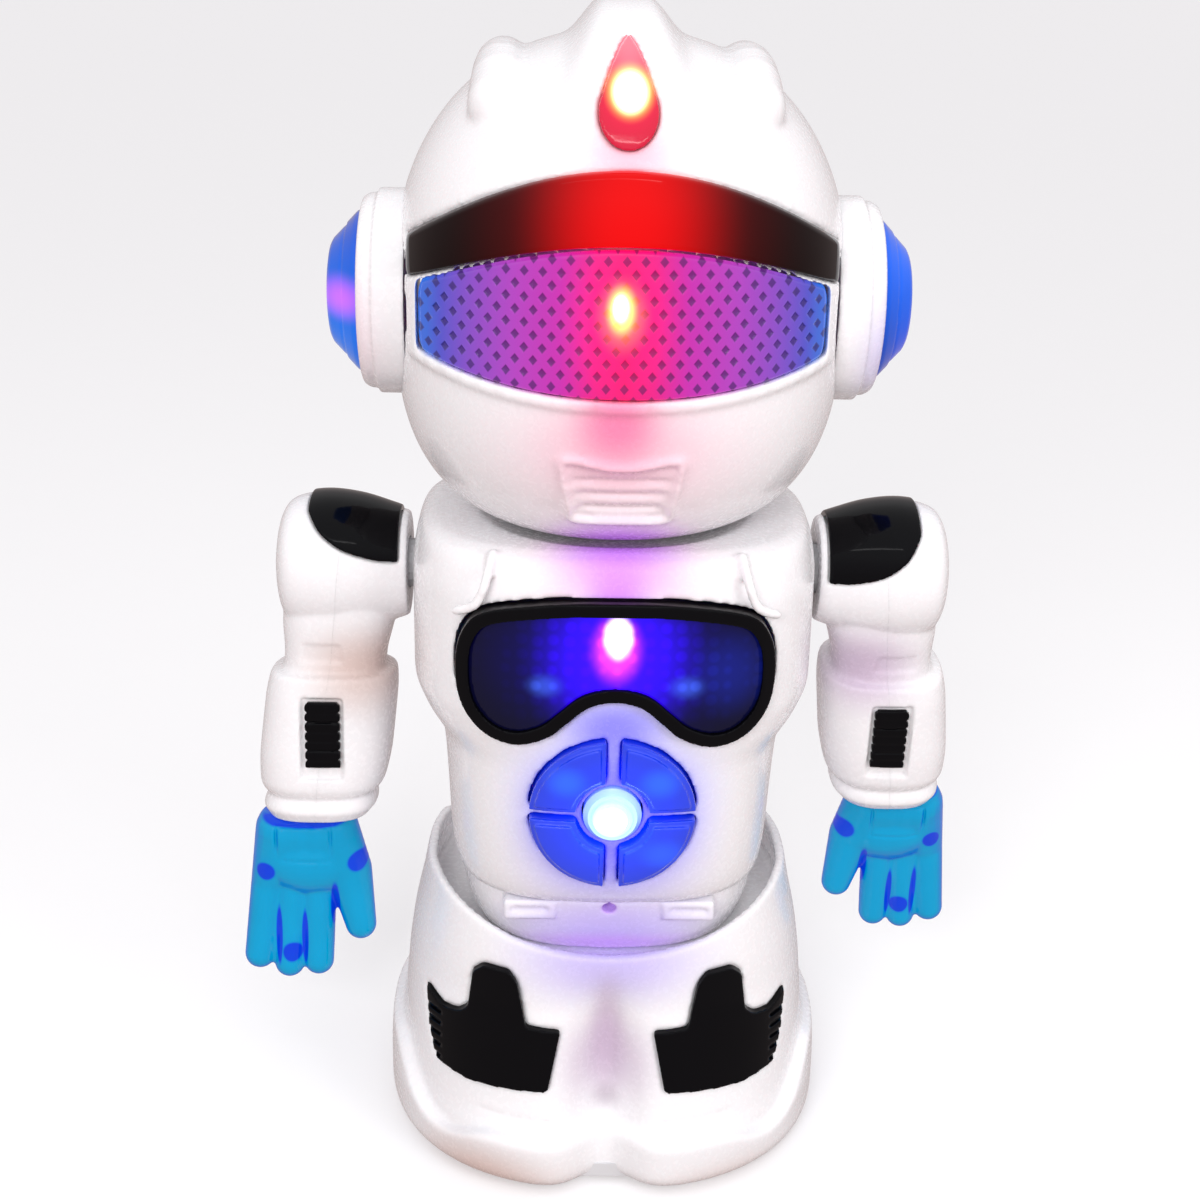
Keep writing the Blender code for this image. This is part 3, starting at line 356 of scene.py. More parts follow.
def eased(stations, count):
    """Rows between the given ones on a curve that never overshoots them."""
    heights = [row[0] for row in stations]
    low, high = heights[0], heights[-1]
    slopes = []
    for column in range(1, len(stations[0])):
        steps = [
            (after[column] - before[column]) / (after[0] - before[0])
            for before, after in zip(stations, stations[1:])
        ]
        inner = [2 * a * b / (a + b) if a * b > 0 else 0.0 for a, b in zip(steps, steps[1:])]
        slopes.append([steps[0]] + inner + [steps[-1]])
    rows = []
    for i in range(count + 1):
        z = low + (high - low) * i / count
        k = max(j for j in range(len(heights) - 1) if heights[j] <= z or j == 0)
        width = heights[k + 1] - heights[k]
        t = (z - heights[k]) / width
        row = [z]
        for column, slope in enumerate(slopes, start=1):
            value = (1 + 2 * t) * (1 - t) ** 2 * stations[k][column]
            value += t * t * (3 - 2 * t) * stations[k + 1][column]
            value += width * t * (1 - t) * ((1 - t) * slope[k] - t * slope[k + 1])
            row.append(value)
        rows.append(row)
    return rows


def smoothstep(low, high, value):
    share = min(max((value - low) / (high - low), 0.0), 1.0)
    return share * share * (3 - 2 * share)


def super_ring(half_x, front, back, z, power, steps, centre_x=0.0, cleft=0.0):
    """Level superellipse ring. The cleft is a smooth notch in the middle of its front."""
    ring = []
    for i in range(steps):
        angle = math.tau * (i + 0.5) / steps
        across = math.copysign(abs(math.cos(angle)) ** (2 / power), math.cos(angle))
        along = math.copysign(abs(math.sin(angle)) ** (2 / power), math.sin(angle))
        x = half_x * across
        y = (back if along > 0 else front) * along
        if along < 0:
            y += cleft * math.exp(-((x / CLEFT_WIDTH) ** 2)) * abs(along)
        ring.append((centre_x + x, y, z))
    return ring


def inlay(name, skin, outline, proud, depth, behind=-4.0):
    """The part of a curved front skin inside an outline, from `proud` outside it to `depth` inside."""
    piece = keep(skin(name, proud), prism("outline", outline, "Y", -FAR, behind))
    return cut(piece, skin("core", -depth))


def sink(shell, outline, behind, floor):
    """Sinks a bed with this outline into the front of a shell, down to the floor form."""
    return cut(shell, cut(prism("bed", outline, "Y", -FAR, behind), floor))


def band(name, skin, outline, width, low, high, behind=-4.0):
    """A raised or sunk border round an outline on a skin."""
    piece = inlay(name, skin, grown(outline, width), high, low, behind)
    return cut(piece, prism("middle", outline, "Y", -FAR, FAR))


# ---------------------------------------------------------------- materials


def node_of(tree, kind, **values):
    node = tree.nodes.new(kind)
    for key, value in values.items():
        if hasattr(node, key):
            setattr(node, key, value)
        else:
            node.inputs[key.replace("_", " ")].default_value = value
    return node


def colour_ramp(tree, factor, stops):
    ramp = tree.nodes.new("ShaderNodeValToRGB")
    while len(ramp.color_ramp.elements) < len(stops):
        ramp.color_ramp.elements.new(0.5)
    for element, (place, colour) in zip(ramp.color_ramp.elements, stops):
        element.position = place
        element.color = (*colour, 1.0)
    tree.links.new(factor, ramp.inputs["Fac"])
    return ramp.outputs["Color"]


def math_node(tree, operation, a, b=None):
    node = tree.nodes.new("ShaderNodeMath")
    node.operation = operation
    for socket, value in zip(node.inputs, (a, b)):
        if value is None:
            continue
        if isinstance(value, (int, float)):
            socket.default_value = value
        else:
            tree.links.new(value, socket)
    return node.outputs[0]


def mix_colour(tree, factor, a, b, blend="MIX"):
    node = tree.nodes.new("ShaderNodeMix")
    node.data_type = "RGBA"
    node.blend_type = blend
    for socket, value in ((node.inputs[0], factor), (node.inputs[6], a), (node.inputs[7], b)):
        if isinstance(value, (int, float)):
            socket.default_value = value
        elif isinstance(value, tuple):
            socket.default_value = (*value, 1.0)
        else:
            tree.links.new(value, socket)
    return node.outputs[2]


def remap(tree, value, source=(0.0, 1.0), target=(0.0, 1.0), kind="LINEAR"):
    """The value carried over from one range to another."""
    node = node_of(tree, "ShaderNodeMapRange", interpolation_type=kind)
    tree.links.new(value, node.inputs["Value"])
    ends = ("From Min", "From Max", "To Min", "To Max")
    for socket, end in zip(ends, (*source, *target)):
        node.inputs[socket].default_value = end
    return node.outputs["Result"]


def nearness(tree, place, centre, radii):
    """1 at a point of the object, falling smoothly to 0 on the ellipsoid of these radii round it."""
    away = tree.nodes.new("ShaderNodeVectorMath")
    away.operation = "SUBTRACT"
    tree.links.new(place, away.inputs[0])
    away.inputs[1].default_value = Vector(centre) * MM
    scaled = tree.nodes.new("ShaderNodeVectorMath")
    scaled.operation = "DIVIDE"
    tree.links.new(away.outputs[0], scaled.inputs[0])
    scaled.inputs[1].default_value = Vector(radii) * MM
    length = tree.nodes.new("ShaderNodeVectorMath")
    length.operation = "LENGTH"
    tree.links.new(scaled.outputs[0], length.inputs[0])
    return remap(tree, length.outputs["Value"], (0.0, 1.0), (1.0, 0.0), "SMOOTHERSTEP")


def added_light(tree, place, spots, total=BLACK):
    """Adds spots of light to a colour. Each is (colour, brightness, centre, radii) in millimetres."""
    for colour, brightness, centre, radii in spots:
        light = tuple(c * brightness for c in colour)
        part = mix_colour(tree, nearness(tree, place, centre, radii), BLACK, light)
        total = mix_colour(tree, 1.0, total, part, "ADD")
    return total


def plastic(name, colour, roughness, grain=0.04, bump=0.02, coat=0.0, **sockets):
    """Moulded plastic: faint flow marks in the colour, uneven gloss and a fine surface ripple.

    Returns the material, its tree, its shader and the position output for further painting.
    """
    material = bpy.data.materials.new(name)
    material.use_nodes = True
    tree = material.node_tree
    shader = tree.nodes["Principled BSDF"]
    coords = tree.nodes.new("ShaderNodeTexCoord")
    place = coords.outputs["Object"]

    flow = node_of(tree, "ShaderNodeTexNoise", Scale=38.0, Detail=3.0, Roughness=0.55)
    tree.links.new(place, flow.inputs["Vector"])
    darker = tuple(c * (1.0 - grain) for c in colour)
    base = mix_colour(tree, flow.outputs["Fac"], colour, darker)
    tree.links.new(base, shader.inputs["Base Color"])

    specks = node_of(tree, "ShaderNodeTexNoise", Scale=900.0, Detail=2.0)
    tree.links.new(place, specks.inputs["Vector"])
    spread = (roughness * 0.75, min(roughness * 1.3, 1.0))
    tree.links.new(remap(tree, specks.outputs["Fac"], target=spread), shader.inputs["Roughness"])

    ripple = node_of(tree, "ShaderNodeTexNoise", Scale=120.0, Detail=2.0)
    tree.links.new(place, ripple.inputs["Vector"])
    pits = math_node(tree, "MULTIPLY", specks.outputs["Fac"], 0.15)
    height = math_node(tree, "ADD", ripple.outputs["Fac"], pits)
    relief = node_of(tree, "ShaderNodeBump", Strength=bump * 10, Distance=0.0001)
    tree.links.new(height, relief.inputs["Height"])
    tree.links.new(relief.outputs["Normal"], shader.inputs["Normal"])

    shader.inputs["Coat Weight"].default_value = coat
    shader.inputs["Coat Roughness"].default_value = 0.05
    for socket, value in sockets.items():
        shader.inputs[socket.replace("_", " ")].default_value = value
    return material, tree, shader, place, base


def glow(tree, shader, place, spots):
    """Painted light in the plastic's emission: glow from inside it, and on the emblem also painted reflections."""
    tree.links.new(added_light(tree, place, spots), shader.inputs["Emission Color"])
    shader.inputs["Emission Strength"].default_value = 1.0


MAGENTA = (1.0, 0.05, 0.45)
WARM = (1.0, 0.72, 0.10)
HOT = (1.0, 0.95, 0.75)
WHITE_COLOUR = (0.87, 0.86, 0.88)
# Colours of painted light and shade on the white shells: glow where lamp light would show through the milky
# plastic, and shade in creases, under overhangs and low down.
ROSE_GLOW = (0.82, 0.17, 0.36)
PINK_GLOW = (0.82, 0.56, 0.64)
VIOLET_GLOW_AND_SHADE = (0.62, 0.22, 0.90)
LILAC_GLOW_AND_SHADE = (0.50, 0.42, 0.82)
BLUE_GLOW = (0.22, 0.20, 1.0)
MAUVE_SHADE = (0.50, 0.38, 0.52)
BEIGE_SHADE = (0.60, 0.46, 0.42)
DARK_SHADE = (0.12, 0.05, 0.12)


def white_shell(name, spots):
    """Milky white plastic with painted light and shade: glow where light from the lamps inside or beside it would
    show through, and shade in creases, under overhangs and low down.

    Each spot is (painted colour, amount, centre, radii) in millimetres.
    """
    material, tree, shader, place, base = plastic(
        name, WHITE_COLOUR, 0.26, grain=0.02, bump=0.003, coat=0.2, Subsurface_Weight=0.08,
        Subsurface_Scale=0.002,
    )
    shader.inputs["Subsurface Radius"].default_value = (1.0, 0.7, 0.7)
    light = BLACK
    # Each spot pulls the base colour towards its painted colour and adds a faint emission of it, for glow and
    # shade alike.
    for painted_tone, amount, centre, radii in spots:
        share = math_node(tree, "MULTIPLY", nearness(tree, place, centre, radii), amount)
        base = mix_colour(tree, share, base, painted_tone)
        light = mix_colour(tree, share, light, tuple(0.07 * c for c in painted_tone))
    if spots:
        tree.links.new(base, shader.inputs["Base Color"])
        tree.links.new(light, shader.inputs["Emission Color"])
        shader.inputs["Emission Strength"].default_value = 1.0
    return material


def black_gloss():
    return plastic("black_gloss", (0.002, 0.002, 0.003), 0.08, grain=0.3, Specular_IOR_Level=0.12)[0]


# ---------------------------------------------------------------- finishing a piece


def finish_piece(obj, node, body, material, swing=None, angle=50.0):
    """Turns a piece into metres, and lets it stand for its CAD node on its body."""
    if swing is not None:
        pivot = Matrix.Translation(swing[0])
        obj.data.transform(pivot @ Matrix.Rotation(swing[1], 4, "X") @ pivot.inverted())
    obj.data.transform(Matrix.Scale(MM, 4))
    obj.data.shade_smooth()
    obj.data.set_sharp_from_angle(angle=math.radians(angle))
    obj.data.materials.clear()
    obj.data.materials.append(material)
    obj.name = node + "_moulding"
    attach(obj, body)
    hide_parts(node)


def finish_halves(shell, nodes, body, material, swing=None, axis="Y", at=0.0, slope=0.0):
    """Splits a moulding and finishes both halves, the one on the lower side of the axis first."""
    for half, node in zip(halves(shell, axis, at, slope), nodes):
        finish_piece(half, node, body, material, swing)


# ---------------------------------------------------------------- legs


SHOE_STEP = 2.6  # how far the shoe stands out from the leg
LEG_STEPS = 176


def shoe_top(x, y):
    """Height of the shoe's edge: low over the toes, high along the sides and the back."""
    side = smoothstep(28.0, 46.0, abs(x))
    front = SOLE_Z + 11.0 - 3.4 * math.exp(-(((abs(x) - 35.0) / 7.0) ** 2))
    if y > 0:
        return SOLE_Z + 17.5
    return front + (SOLE_Z + 17.5 - front) * side * smoothstep(-34.0, -14.0, y)


def leg_skin(name, grow=0.0):
    """Two toes in front, a stepped shoe, legs narrowing to a hip bowl."""
    stations = (
        # height over the sole, share of the half width, front, share of the back, cleft
        (0.0, 0.970, TOE_FRONT - 1.5, 0.970, 0.9 * CLEFT_DEPTH),
        (1.2, 0.992, TOE_FRONT - 0.4, 0.992, 0.9 * CLEFT_DEPTH),
        (3.0, 1.0, TOE_FRONT, 1.0, 0.9 * CLEFT_DEPTH),
        (9.0, 1.0, TOE_FRONT, 1.0, CLEFT_DEPTH),
        (12.5, 0.998, TOE_FRONT - 1.6, 0.998, 1.1 * CLEFT_DEPTH),
        (22.5, 0.980, TOE_FRONT - 4.8, 0.975, CLEFT_DEPTH),
        (32.5, 0.937, TOE_FRONT - 8.8, 0.932, 0.66 * CLEFT_DEPTH),
        (37.0, 0.912, TOE_FRONT - 10.5, 0.902, 0.40 * CLEFT_DEPTH),
        (48.5, 0.850, TOE_FRONT - 12.3, 0.850, 0.0),
        (57.0, 0.815, TOE_FRONT - 14.3, 0.800, 0.0),
    )
    rings = []
    for height, wide, front, back, cleft in eased(stations, 100):
        z = SOLE_Z + height
        ring = super_ring(
            LEGS_HIGH.x * wide + grow, front + grow, LEGS_HIGH.y * back + grow, z, LEG_POWER,
            LEG_STEPS, cleft=cleft,
        )
        stepped = []
        for x, y, level in ring:
            inward = SHOE_STEP * smoothstep(-0.5, 0.7, level - shoe_top(x, y))
            share = 1.0 - inward * (1.0 - smoothstep(20.0, 46.0, height)) / 48.0
            crease = 1.3 * math.exp(-abs(x) / 1.6) * smoothstep(8.0, 22.0, height)
            crease *= 1.0 - smoothstep(34.0, 45.0, height)
            stepped.append((x * share, y * share + (crease if y < 0 else 0.0), level))
        rings.append(stepped)
    rings[0] = [(x, y, z - max(grow, 0.0)) for x, y, z in rings[0]]
    rings[-1] = [(x, y, z + max(grow, 0.0)) for x, y, z in rings[-1]]
    return loft(name, rings)


def knee_outline():
    """Left knee patch from the front: a tongue over a wide part with a pointed upper outer corner."""
    return [
        (x, SOLE_Z + z) for x, z in (
            (12.1, 20.1), (9.6, 32.3), (16.8, 32.9), (18.6, 42.0), (20.4, 44.3), (25.6, 44.3),
            (28.0, 42.1), (29.0, 34.1), (31.0, 32.3), (34.5, 31.6), (38.2, 33.6), (37.6, 26.0),
            (36.0, 19.9), (29.0, 19.1),
        )
    ]


def leg_details(shell):
    """Arch over the groin, and a short slot in the top of each shoe."""
    arch_line = [(x, SOLE_Z + 34.5 - 0.06 * x * x) for x in range(-10, 11, 2)]
    arch_low = [(x, z - 0.6) for x, z in reversed(arch_line)]
    cut(shell, inlay("groin", leg_skin, arch_line + arch_low, 2.0, 0.4))
    for sign in SIDES.values():
        low = SOLE_Z + 12.9
        slot = rectangle(sign * 11.0, sign * 27.0, low, low + 1.1)
        cut(shell, inlay("shoe slot", leg_skin, slot, 2.0, 0.5))


def leg_hollows(shell):
    """Hollow from below up to the deck, and the bowl above it in which the belt turns."""
    deck = joint_place("waist_turn").z
    hollow = keep(leg_skin("hollow", -WALL), box("below", (-FAR, -FAR, -1), (FAR, FAR, deck - WALL)))
    mouth_ring = [
        super_ring(
            LEGS_HIGH.x * 0.97 - WALL, TOE_FRONT - 1.5 - WALL, LEGS_HIGH.y * 0.97 - WALL, z,
            LEG_POWER, LEG_STEPS, cleft=0.9 * CLEFT_DEPTH,
        )
        for z in (-1.0, SOLE_Z + 3.2)
    ]
    above = box("above", (-FAR, -FAR, deck), (FAR, FAR, LEGS_HIGH.z + 6.0))
    bowl = keep(leg_skin("bowl", -WALL - 0.6), above)
    lip = moved(copy_of(bowl, "lip"), (0, 0, 3.0))
    cut(shell, hollow, loft("mouth", mouth_ring), bowl, lip)
    cut(shell, rod("waist hole", 14.0, deck - 5, deck + 5))


def leg_rims(shell):
    """Upper edge of the bowl: dished in front, falling away behind."""
    top = LEGS_HIGH.z + 1.0
    rim_half = [(36.0 * i / 12, top - 1.4 - 8.0 * (1 - (i / 12) ** 2)) for i in range(13)]
    rim_line = both_sides(rim_half + [(FAR, top - 1.4), (FAR, FAR), (0.0, FAR)])
    cut(shell, prism("rim line", rim_line, "Y", -FAR, FAR))
    rear_z = LEGS_HIGH.z - 8.0
    rear_curve = [(4.0, top), (14.0, top - 1.2), (28.0, rear_z + 2.0), (44.0, rear_z)]
    rear_fall = curved(rear_curve, 5, closed=False) + [(FAR, rear_z), (FAR, FAR), (4.0, FAR)]
    cut(shell, prism("rear rim", rear_fall, "X", -FAR, FAR))


def legs():
    """Shoes, legs and hip bowl in one moulding, split at its middle into a front and a rear half."""
    shell = leg_skin("legs")
    leg_hollows(shell)
    leg_rims(shell)
    leg_details(shell)
    for outline in (knee_outline(), mirrored(knee_outline())):
        sink(shell, grown(rounded(outline, 0.9), GAP), -4.0, leg_skin("floor", -1.1))
    # Painted light and shade: lilac glow and shade in the band under the belt, mauve painted shade down the groove
    # between the legs, dark painted shade where it meets the shoes, and beige painted shade low on the shoe
    # fronts.
    spots = [
        (LILAC_GLOW_AND_SHADE, 0.85, (0, -38, 50), (32, 30, 17)),
        (MAUVE_SHADE, 0.95, (0, -42, 31), (6.0, 30, 22)),
        (MAUVE_SHADE, 0.75, (0, -42, 27), (16, 30, 16)),
        (DARK_SHADE, 0.55, (0, -50, SOLE_Z + 15.5), (5.5, 30, 5.0)),
        (BEIGE_SHADE, 1.0, (-26, -44, SOLE_Z), (30, 24, 13)),
        (BEIGE_SHADE, 0.45, (26, -44, SOLE_Z), (28, 22, 9)),
    ]
    material = white_shell("white_legs", spots)
    soften(shell, 0.56, 8)
    finish_halves(shell, ("legs_front_shell", "legs_rear_shell"), "base", material)


def knee_patches(material):
    """Gloss black inlays, ribbed along their outer side."""
    for side, sign in SIDES.items():
        outline = [(sign * x, z) for x, z in rounded(knee_outline(), 0.8)]
        patch = inlay("patch", leg_skin, outline, 0.9, 1.0)
        for i in range(5):
            low = SOLE_Z + 20.4 + i * 2.3
            rib = rectangle(sign * 34.6, sign * 40.0, low, low + 0.9)
            cut(patch, inlay("rib", leg_skin, rib, 3.0, 0.1))
        soften(patch, 0.28, 3)
        finish_piece(patch, "knee_patch_" + side, "base", material)


# ---------------------------------------------------------------- torso


TORSO_HALF_X = TORSO_HIGH.x
TORSO_FRONT = -TORSO_LOW.y
TORSO_BACK = TORSO_HIGH.y


def torso_skin(name, grow=0.0):
    stations = (
        # height, share of the half width, share of the front, share of the back
        (TORSO_LOW.z - min(grow, 0.0) * 1.2, 0.790, 0.850, 0.850),
        (TORSO_LOW.z + 2.2, 0.806, 0.900, 0.893),
        (TORSO_LOW.z + 7.5, 0.822, 0.940, 0.930),
        (TORSO_LOW.z + 18.5, 0.835, 0.975, 0.960),
        (TORSO_LOW.z + 31.0, 0.858, 0.990, 0.980),
        (TORSO_LOW.z + 38.5, 0.958, 1.0, 1.0),
        (TORSO_LOW.z + 43.5, 1.0, 1.0, 1.0),
        (TORSO_LOW.z + 64.5, 1.0, 0.985, 0.985),
        (TORSO_LOW.z + 71.0, 0.980, 0.945, 0.940),
        (TORSO_LOW.z + 74.0, 0.950, 0.890, 0.890),
        (TORSO_HIGH.z + min(grow, 0.0), 0.900, 0.820, 0.820),
    )
    rings = []
    for z, wide, front, back in eased(stations, 84):
        half_x, front_y, back_y = TORSO_HALF_X * wide, TORSO_FRONT * front, TORSO_BACK * back
        rings.append(super_ring(half_x + grow, front_y + grow, back_y + grow, z, TORSO_POWER, 160))
    return loft(name, rings)


def chest_outline():
    """Goggle-shaped chest lens: two lobes under a shallow arch."""
    low = CHEST_LOW.z
    right_half = [
        (0.0, low + 9.6), (5.0, low + 8.5), (9.0, low + 5.2), (13.0, low + 1.9), (19.0, low),
        (25.0, low + 1.6), (29.4, low + 6.7), (30.7, low + 13.7), (29.6, low + 21.2),
        (25.0, low + 26.4), (13.0, low + 28.8), (0.0, low + 29.2),
    ]
    return curved(both_sides(right_half), 5)


STRAP_R = 1.05


def strap_path(sign):
    """Crease from the shoulder down beside the chest, turning outwards at its end."""
    top = TORSO_HIGH.z
    return [
        (sign * 23.6, -TORSO_FRONT * 0.82, top - 0.6), (sign * 24.6, -TORSO_FRONT * 0.945, top - 4.2),
        (sign * 25.8, -TORSO_FRONT * 0.955, top - 7.6), (sign * 27.4, -TORSO_FRONT * 0.940, top - 9.6),
        (sign * 30.4, -TORSO_FRONT * 0.900, top - 11.0),
    ]


def door_outline(inset):
    half_x = 23.3 - inset
    low = DOOR_LOW.z - 0.3 + inset
    high = DOOR_HIGH.z + 0.3 - inset
    return rounded(rectangle(-half_x, half_x, low, high), 2.5)


def emblem_quadrant(across, up, inset=0.0):
    """One of the four pads: a ring sector between the arms of a cross, with rounded corners."""
    half_slot_x = 1.2 + inset
    half_slot_z = 0.7 + inset
    outer = EMBLEM_R - inset
    inner = EMBLEM_LAMP_R + 1.3 + inset
    start, end = math.asin(half_slot_z / outer), math.acos(half_slot_x / outer)
    points = arc(outer, outer, start, end, 16)
    start, end = math.acos(half_slot_x / inner), math.asin(half_slot_z / inner)
    points += arc(inner, inner, start, end, 8)
    return [(across * x, EMBLEM.z + up * z) for x, z in points]


QUADRANTS = ((1, 1), (-1, 1), (-1, -1), (1, -1))


def torso_openings(shell):
    """Holes for the neck, waist and shoulders, windows for the lenses, and the back's openings."""
    cut(shell, rod("neck hole", NECK_HOLE_R, 120, 145), rod("waist hole", 7.0, 60, 72))
    cut(shell, rod("axle holes", AXLE_HOLE_R, -FAR, FAR, "X", (0, 0, SHOULDER_Z)))
    cut(shell, prism("chest window", grown(chest_outline(), GAP), "Y", -FAR, -20))
    for across, up in QUADRANTS:
        cut(shell, prism("pad window", emblem_quadrant(across, up), "Y", -FAR, -20))
    cut(shell, rod("lamp hole", EMBLEM_LAMP_R + GAP, -FAR, -20, "Y", EMBLEM))
    cut(shell, prism("door opening", door_outline(0.0), "Y", 20, FAR))
    slider_low, slider_high = span("power_slider")
    slot_z = (slider_low.z + slider_high.z) / 2
    cut(shell, box("switch slot", (-5.0, 20, slot_z - 1.6), (5.0, FAR, slot_z + 1.6)))
    cut(shell, inlay_back("switch bed", rectangle(-7.5, 7.5, slot_z - 3.6, slot_z + 3.6)))
    low_front = (0, 0, TORSO_LOW.z + 2.6)
    cut(shell, rod("front dimple", 1.5, -FAR, -TORSO_FRONT * 0.93 + 1.0, "Y", low_front))


def torso():
    """Hollow torso with a dish for the head, split into a front and a rear half."""
    shell = torso_skin("torso")
    hollow = cut(torso_skin("hollow", -WALL), head_skin("dish", 1.5 + WALL))
    cut(shell, hollow, head_skin("dish", 1.5))
    torso_openings(shell)
    for sign in SIDES.values():
        path = curved(strap_path(sign), 4, closed=False)
        shell = join("torso", [shell, capsule("strap", path, [STRAP_R] * len(path))])
    # Painted glow of the lamps showing through the shell: lilac low on the front, pink and violet in a V under the
    # chin, blue round the emblem.
    spots = [
        (LILAC_GLOW_AND_SHADE, 0.45, (0, -36, 70), (30, 26, 26)),
        (PINK_GLOW, 0.55, (0, -34, 134), (30, 24, 22)),
        (VIOLET_GLOW_AND_SHADE, 0.85, (0, -36, 137), (20, 30, 15)),
        (VIOLET_GLOW_AND_SHADE, 0.80, (0, -38, 129), (9, 20, 10)),
        (BLUE_GLOW, 0.70, (0, -38, EMBLEM.z), (32, 14, 32)),
        (BLUE_GLOW, 0.95, (0, -38, EMBLEM.z), (24, 14, 24)),
        (BLUE_GLOW, 0.90, (0, -38, EMBLEM.z + 19), (16, 14, 10)),
    ]
    material = white_shell("white_torso", spots)
    soften(shell, 0.56, 8)
    finish_halves(shell, ("torso_front_shell", "torso_rear_shell"), "torso", material)
    door(material)


def inlay_back(name, outline):
    """A shallow bed in the torso's back wall."""
    piece = keep(torso_skin(name, 1.0), prism("outline", outline, "Y", 10, FAR))
    return cut(piece, torso_skin("core", -0.6))


def door(material):
    """Battery door with a finger grip and a recess round its screw."""
    panel = keep(torso_skin("door", 0.0), prism("outline", door_outline(GAP), "Y", 20, FAR))
    cut(panel, torso_skin("core", -1.8))
    screw_low, screw_high = span("battery_door_screw")
    screw_z = (screw_low.z + screw_high.z) / 2
    cut(panel, rod("screw hole", 2.8, 0, FAR, "Y", (0, 0, screw_z)))
    cut(panel, rod("screw dish", 4.2, TORSO_BACK - 0.9, FAR, "Y", (0, 0, screw_z)))
    for i in range(5):
        z = DOOR_LOW.z + 4.0 + 1.9 * i
        half_x = 8.0 - 0.9 * i
        groove = rounded(rectangle(-half_x, half_x, z, z + 0.9), 0.4)
        cut(panel, keep(torso_skin("grip", 1.0), prism("line", groove, "Y", TORSO_BACK - 1.1, FAR)))
    soften(panel, 0.35, 2)
    finish_piece(panel, "battery_door", "torso", material)


def chest(material):
    """Smoked lens in its raised black bezel."""
    bezel = inlay("bezel", torso_skin, chest_outline(), 2.4, WALL)
    cut(bezel, prism("opening", grown(chest_outline(), -2.6), "Y", -FAR, -20))
    soften(bezel, 0.3, 5)
    finish_piece(bezel, "chest_bezel", "torso", material)
    lens = inlay("lens", torso_skin, grown(chest_outline(), -2.5), 1.5, 0.6)
    soften(lens, 0.3, 3)
    finish_piece(lens, "chest_lens", "torso", chest_lens_material())


def chest_lens_material():
    """Smoked lens over a lit blue middle, with rows of round optics in both lobes."""
    material, tree, shader, place, _ = plastic(
        "chest_lens", (0.003, 0.003, 0.02), 0.05, Specular_IOR_Level=0.2
    )
    middle = CHEST_LOW.z + 21.0
    cells = node_of(tree, "ShaderNodeTexVoronoi", Scale=330.0, Randomness=0.15)
    tree.links.new(place, cells.inputs["Vector"])
    dots = remap(tree, cells.outputs["Distance"], (0.25, 0.5), (1.0, 0.35), "SMOOTHSTEP")
    spots = (
        ((0.03, 0.0, 1.0), 2.2, (0, -39, middle - 3.0), (20, 30, 22)),
        ((0.02, 0.0, 1.0), 0.22, (0, -39, middle - 3.0), (34, 30, 22)),
        ((0.01, 0.03, 0.50), 0.45, (22, -38, middle - 6.0), (11, 20, 12)),
        ((0.05, 0.14, 0.75), 0.8, (13.5, -38, middle - 8.5), (5.0, 20, 3.4)),
        ((0.05, 0.14, 0.75), 0.8, (-13.5, -38, middle - 8.5), (5.0, 20, 3.4)),
        (MAGENTA, 2.4, (0, -39, middle - 1.0), (6.4, 16, 9.0)),
        (HOT, 8.0, (0.3, -40, middle + 1.5), (3.6, 14, 5.6)),
    )
    total = mix_colour(tree, 0.45, added_light(tree, place, spots), dots, "MULTIPLY")
    tree.links.new(total, shader.inputs["Emission Color"])
    shader.inputs["Emission Strength"].default_value = 1.0
    return material


def emblem():
    """Four domed blue pads on their backing plate, and the bright lamp lens in their middle."""
    plate_r = 17.6
    disc = [(x, EMBLEM.z + z) for x, z in arc(plate_r, plate_r, 0.0, math.tau, 64)[:-1]]
    parts = [inlay("plate", torso_skin, disc, -WALL - GAP, 4.0, -20.0)]
    for across, up in QUADRANTS:
        parts.append(inlay("pad", torso_skin, emblem_quadrant(across, up, GAP), 1.6, 3.2))
        parts.append(inlay("crown", torso_skin, emblem_quadrant(across, up, 1.3), 2.4, 3.2))
    pads = join("pads", parts)
    soften(pads, 0.28, 5)
    cut(pads, rod("lamp hole", EMBLEM_LAMP_R + GAP, -FAR, -20, "Y", EMBLEM))
    material, tree, shader, place, _ = plastic(
        "emblem_blue", (0.006, 0.05, 0.78), 0.06, grain=0.1, coat=1.0, Transmission_Weight=0.15, IOR=1.5
    )
    glow(
        tree, shader, place,
        [
            ((0.0, 0.02, 1.0), 0.55, (0, -40, EMBLEM.z), (22, 22, 22)),
            ((0.0, 0.10, 1.0), 0.50, (0, -40, EMBLEM.z - 1.0), (12, 14, 12)),
            # The paler cyan spots on three pads are painted reflections of the studio's softbox; the deeper blue
            # spots above are glow from the lamp.
            ((0.02, 0.30, 1.0), 0.30, (-9, -40, EMBLEM.z + 8.0), (6, 10, 5)),
            ((0.02, 0.30, 1.0), 0.30, (9, -40, EMBLEM.z + 8.0), (6, 10, 5)),
            ((0.02, 0.20, 1.0), 0.30, (10, -40, EMBLEM.z - 8.0), (7, 10, 5)),
        ],
    )
    finish_piece(pads, "emblem_pads", "torso", material)
    emblem_lamp()


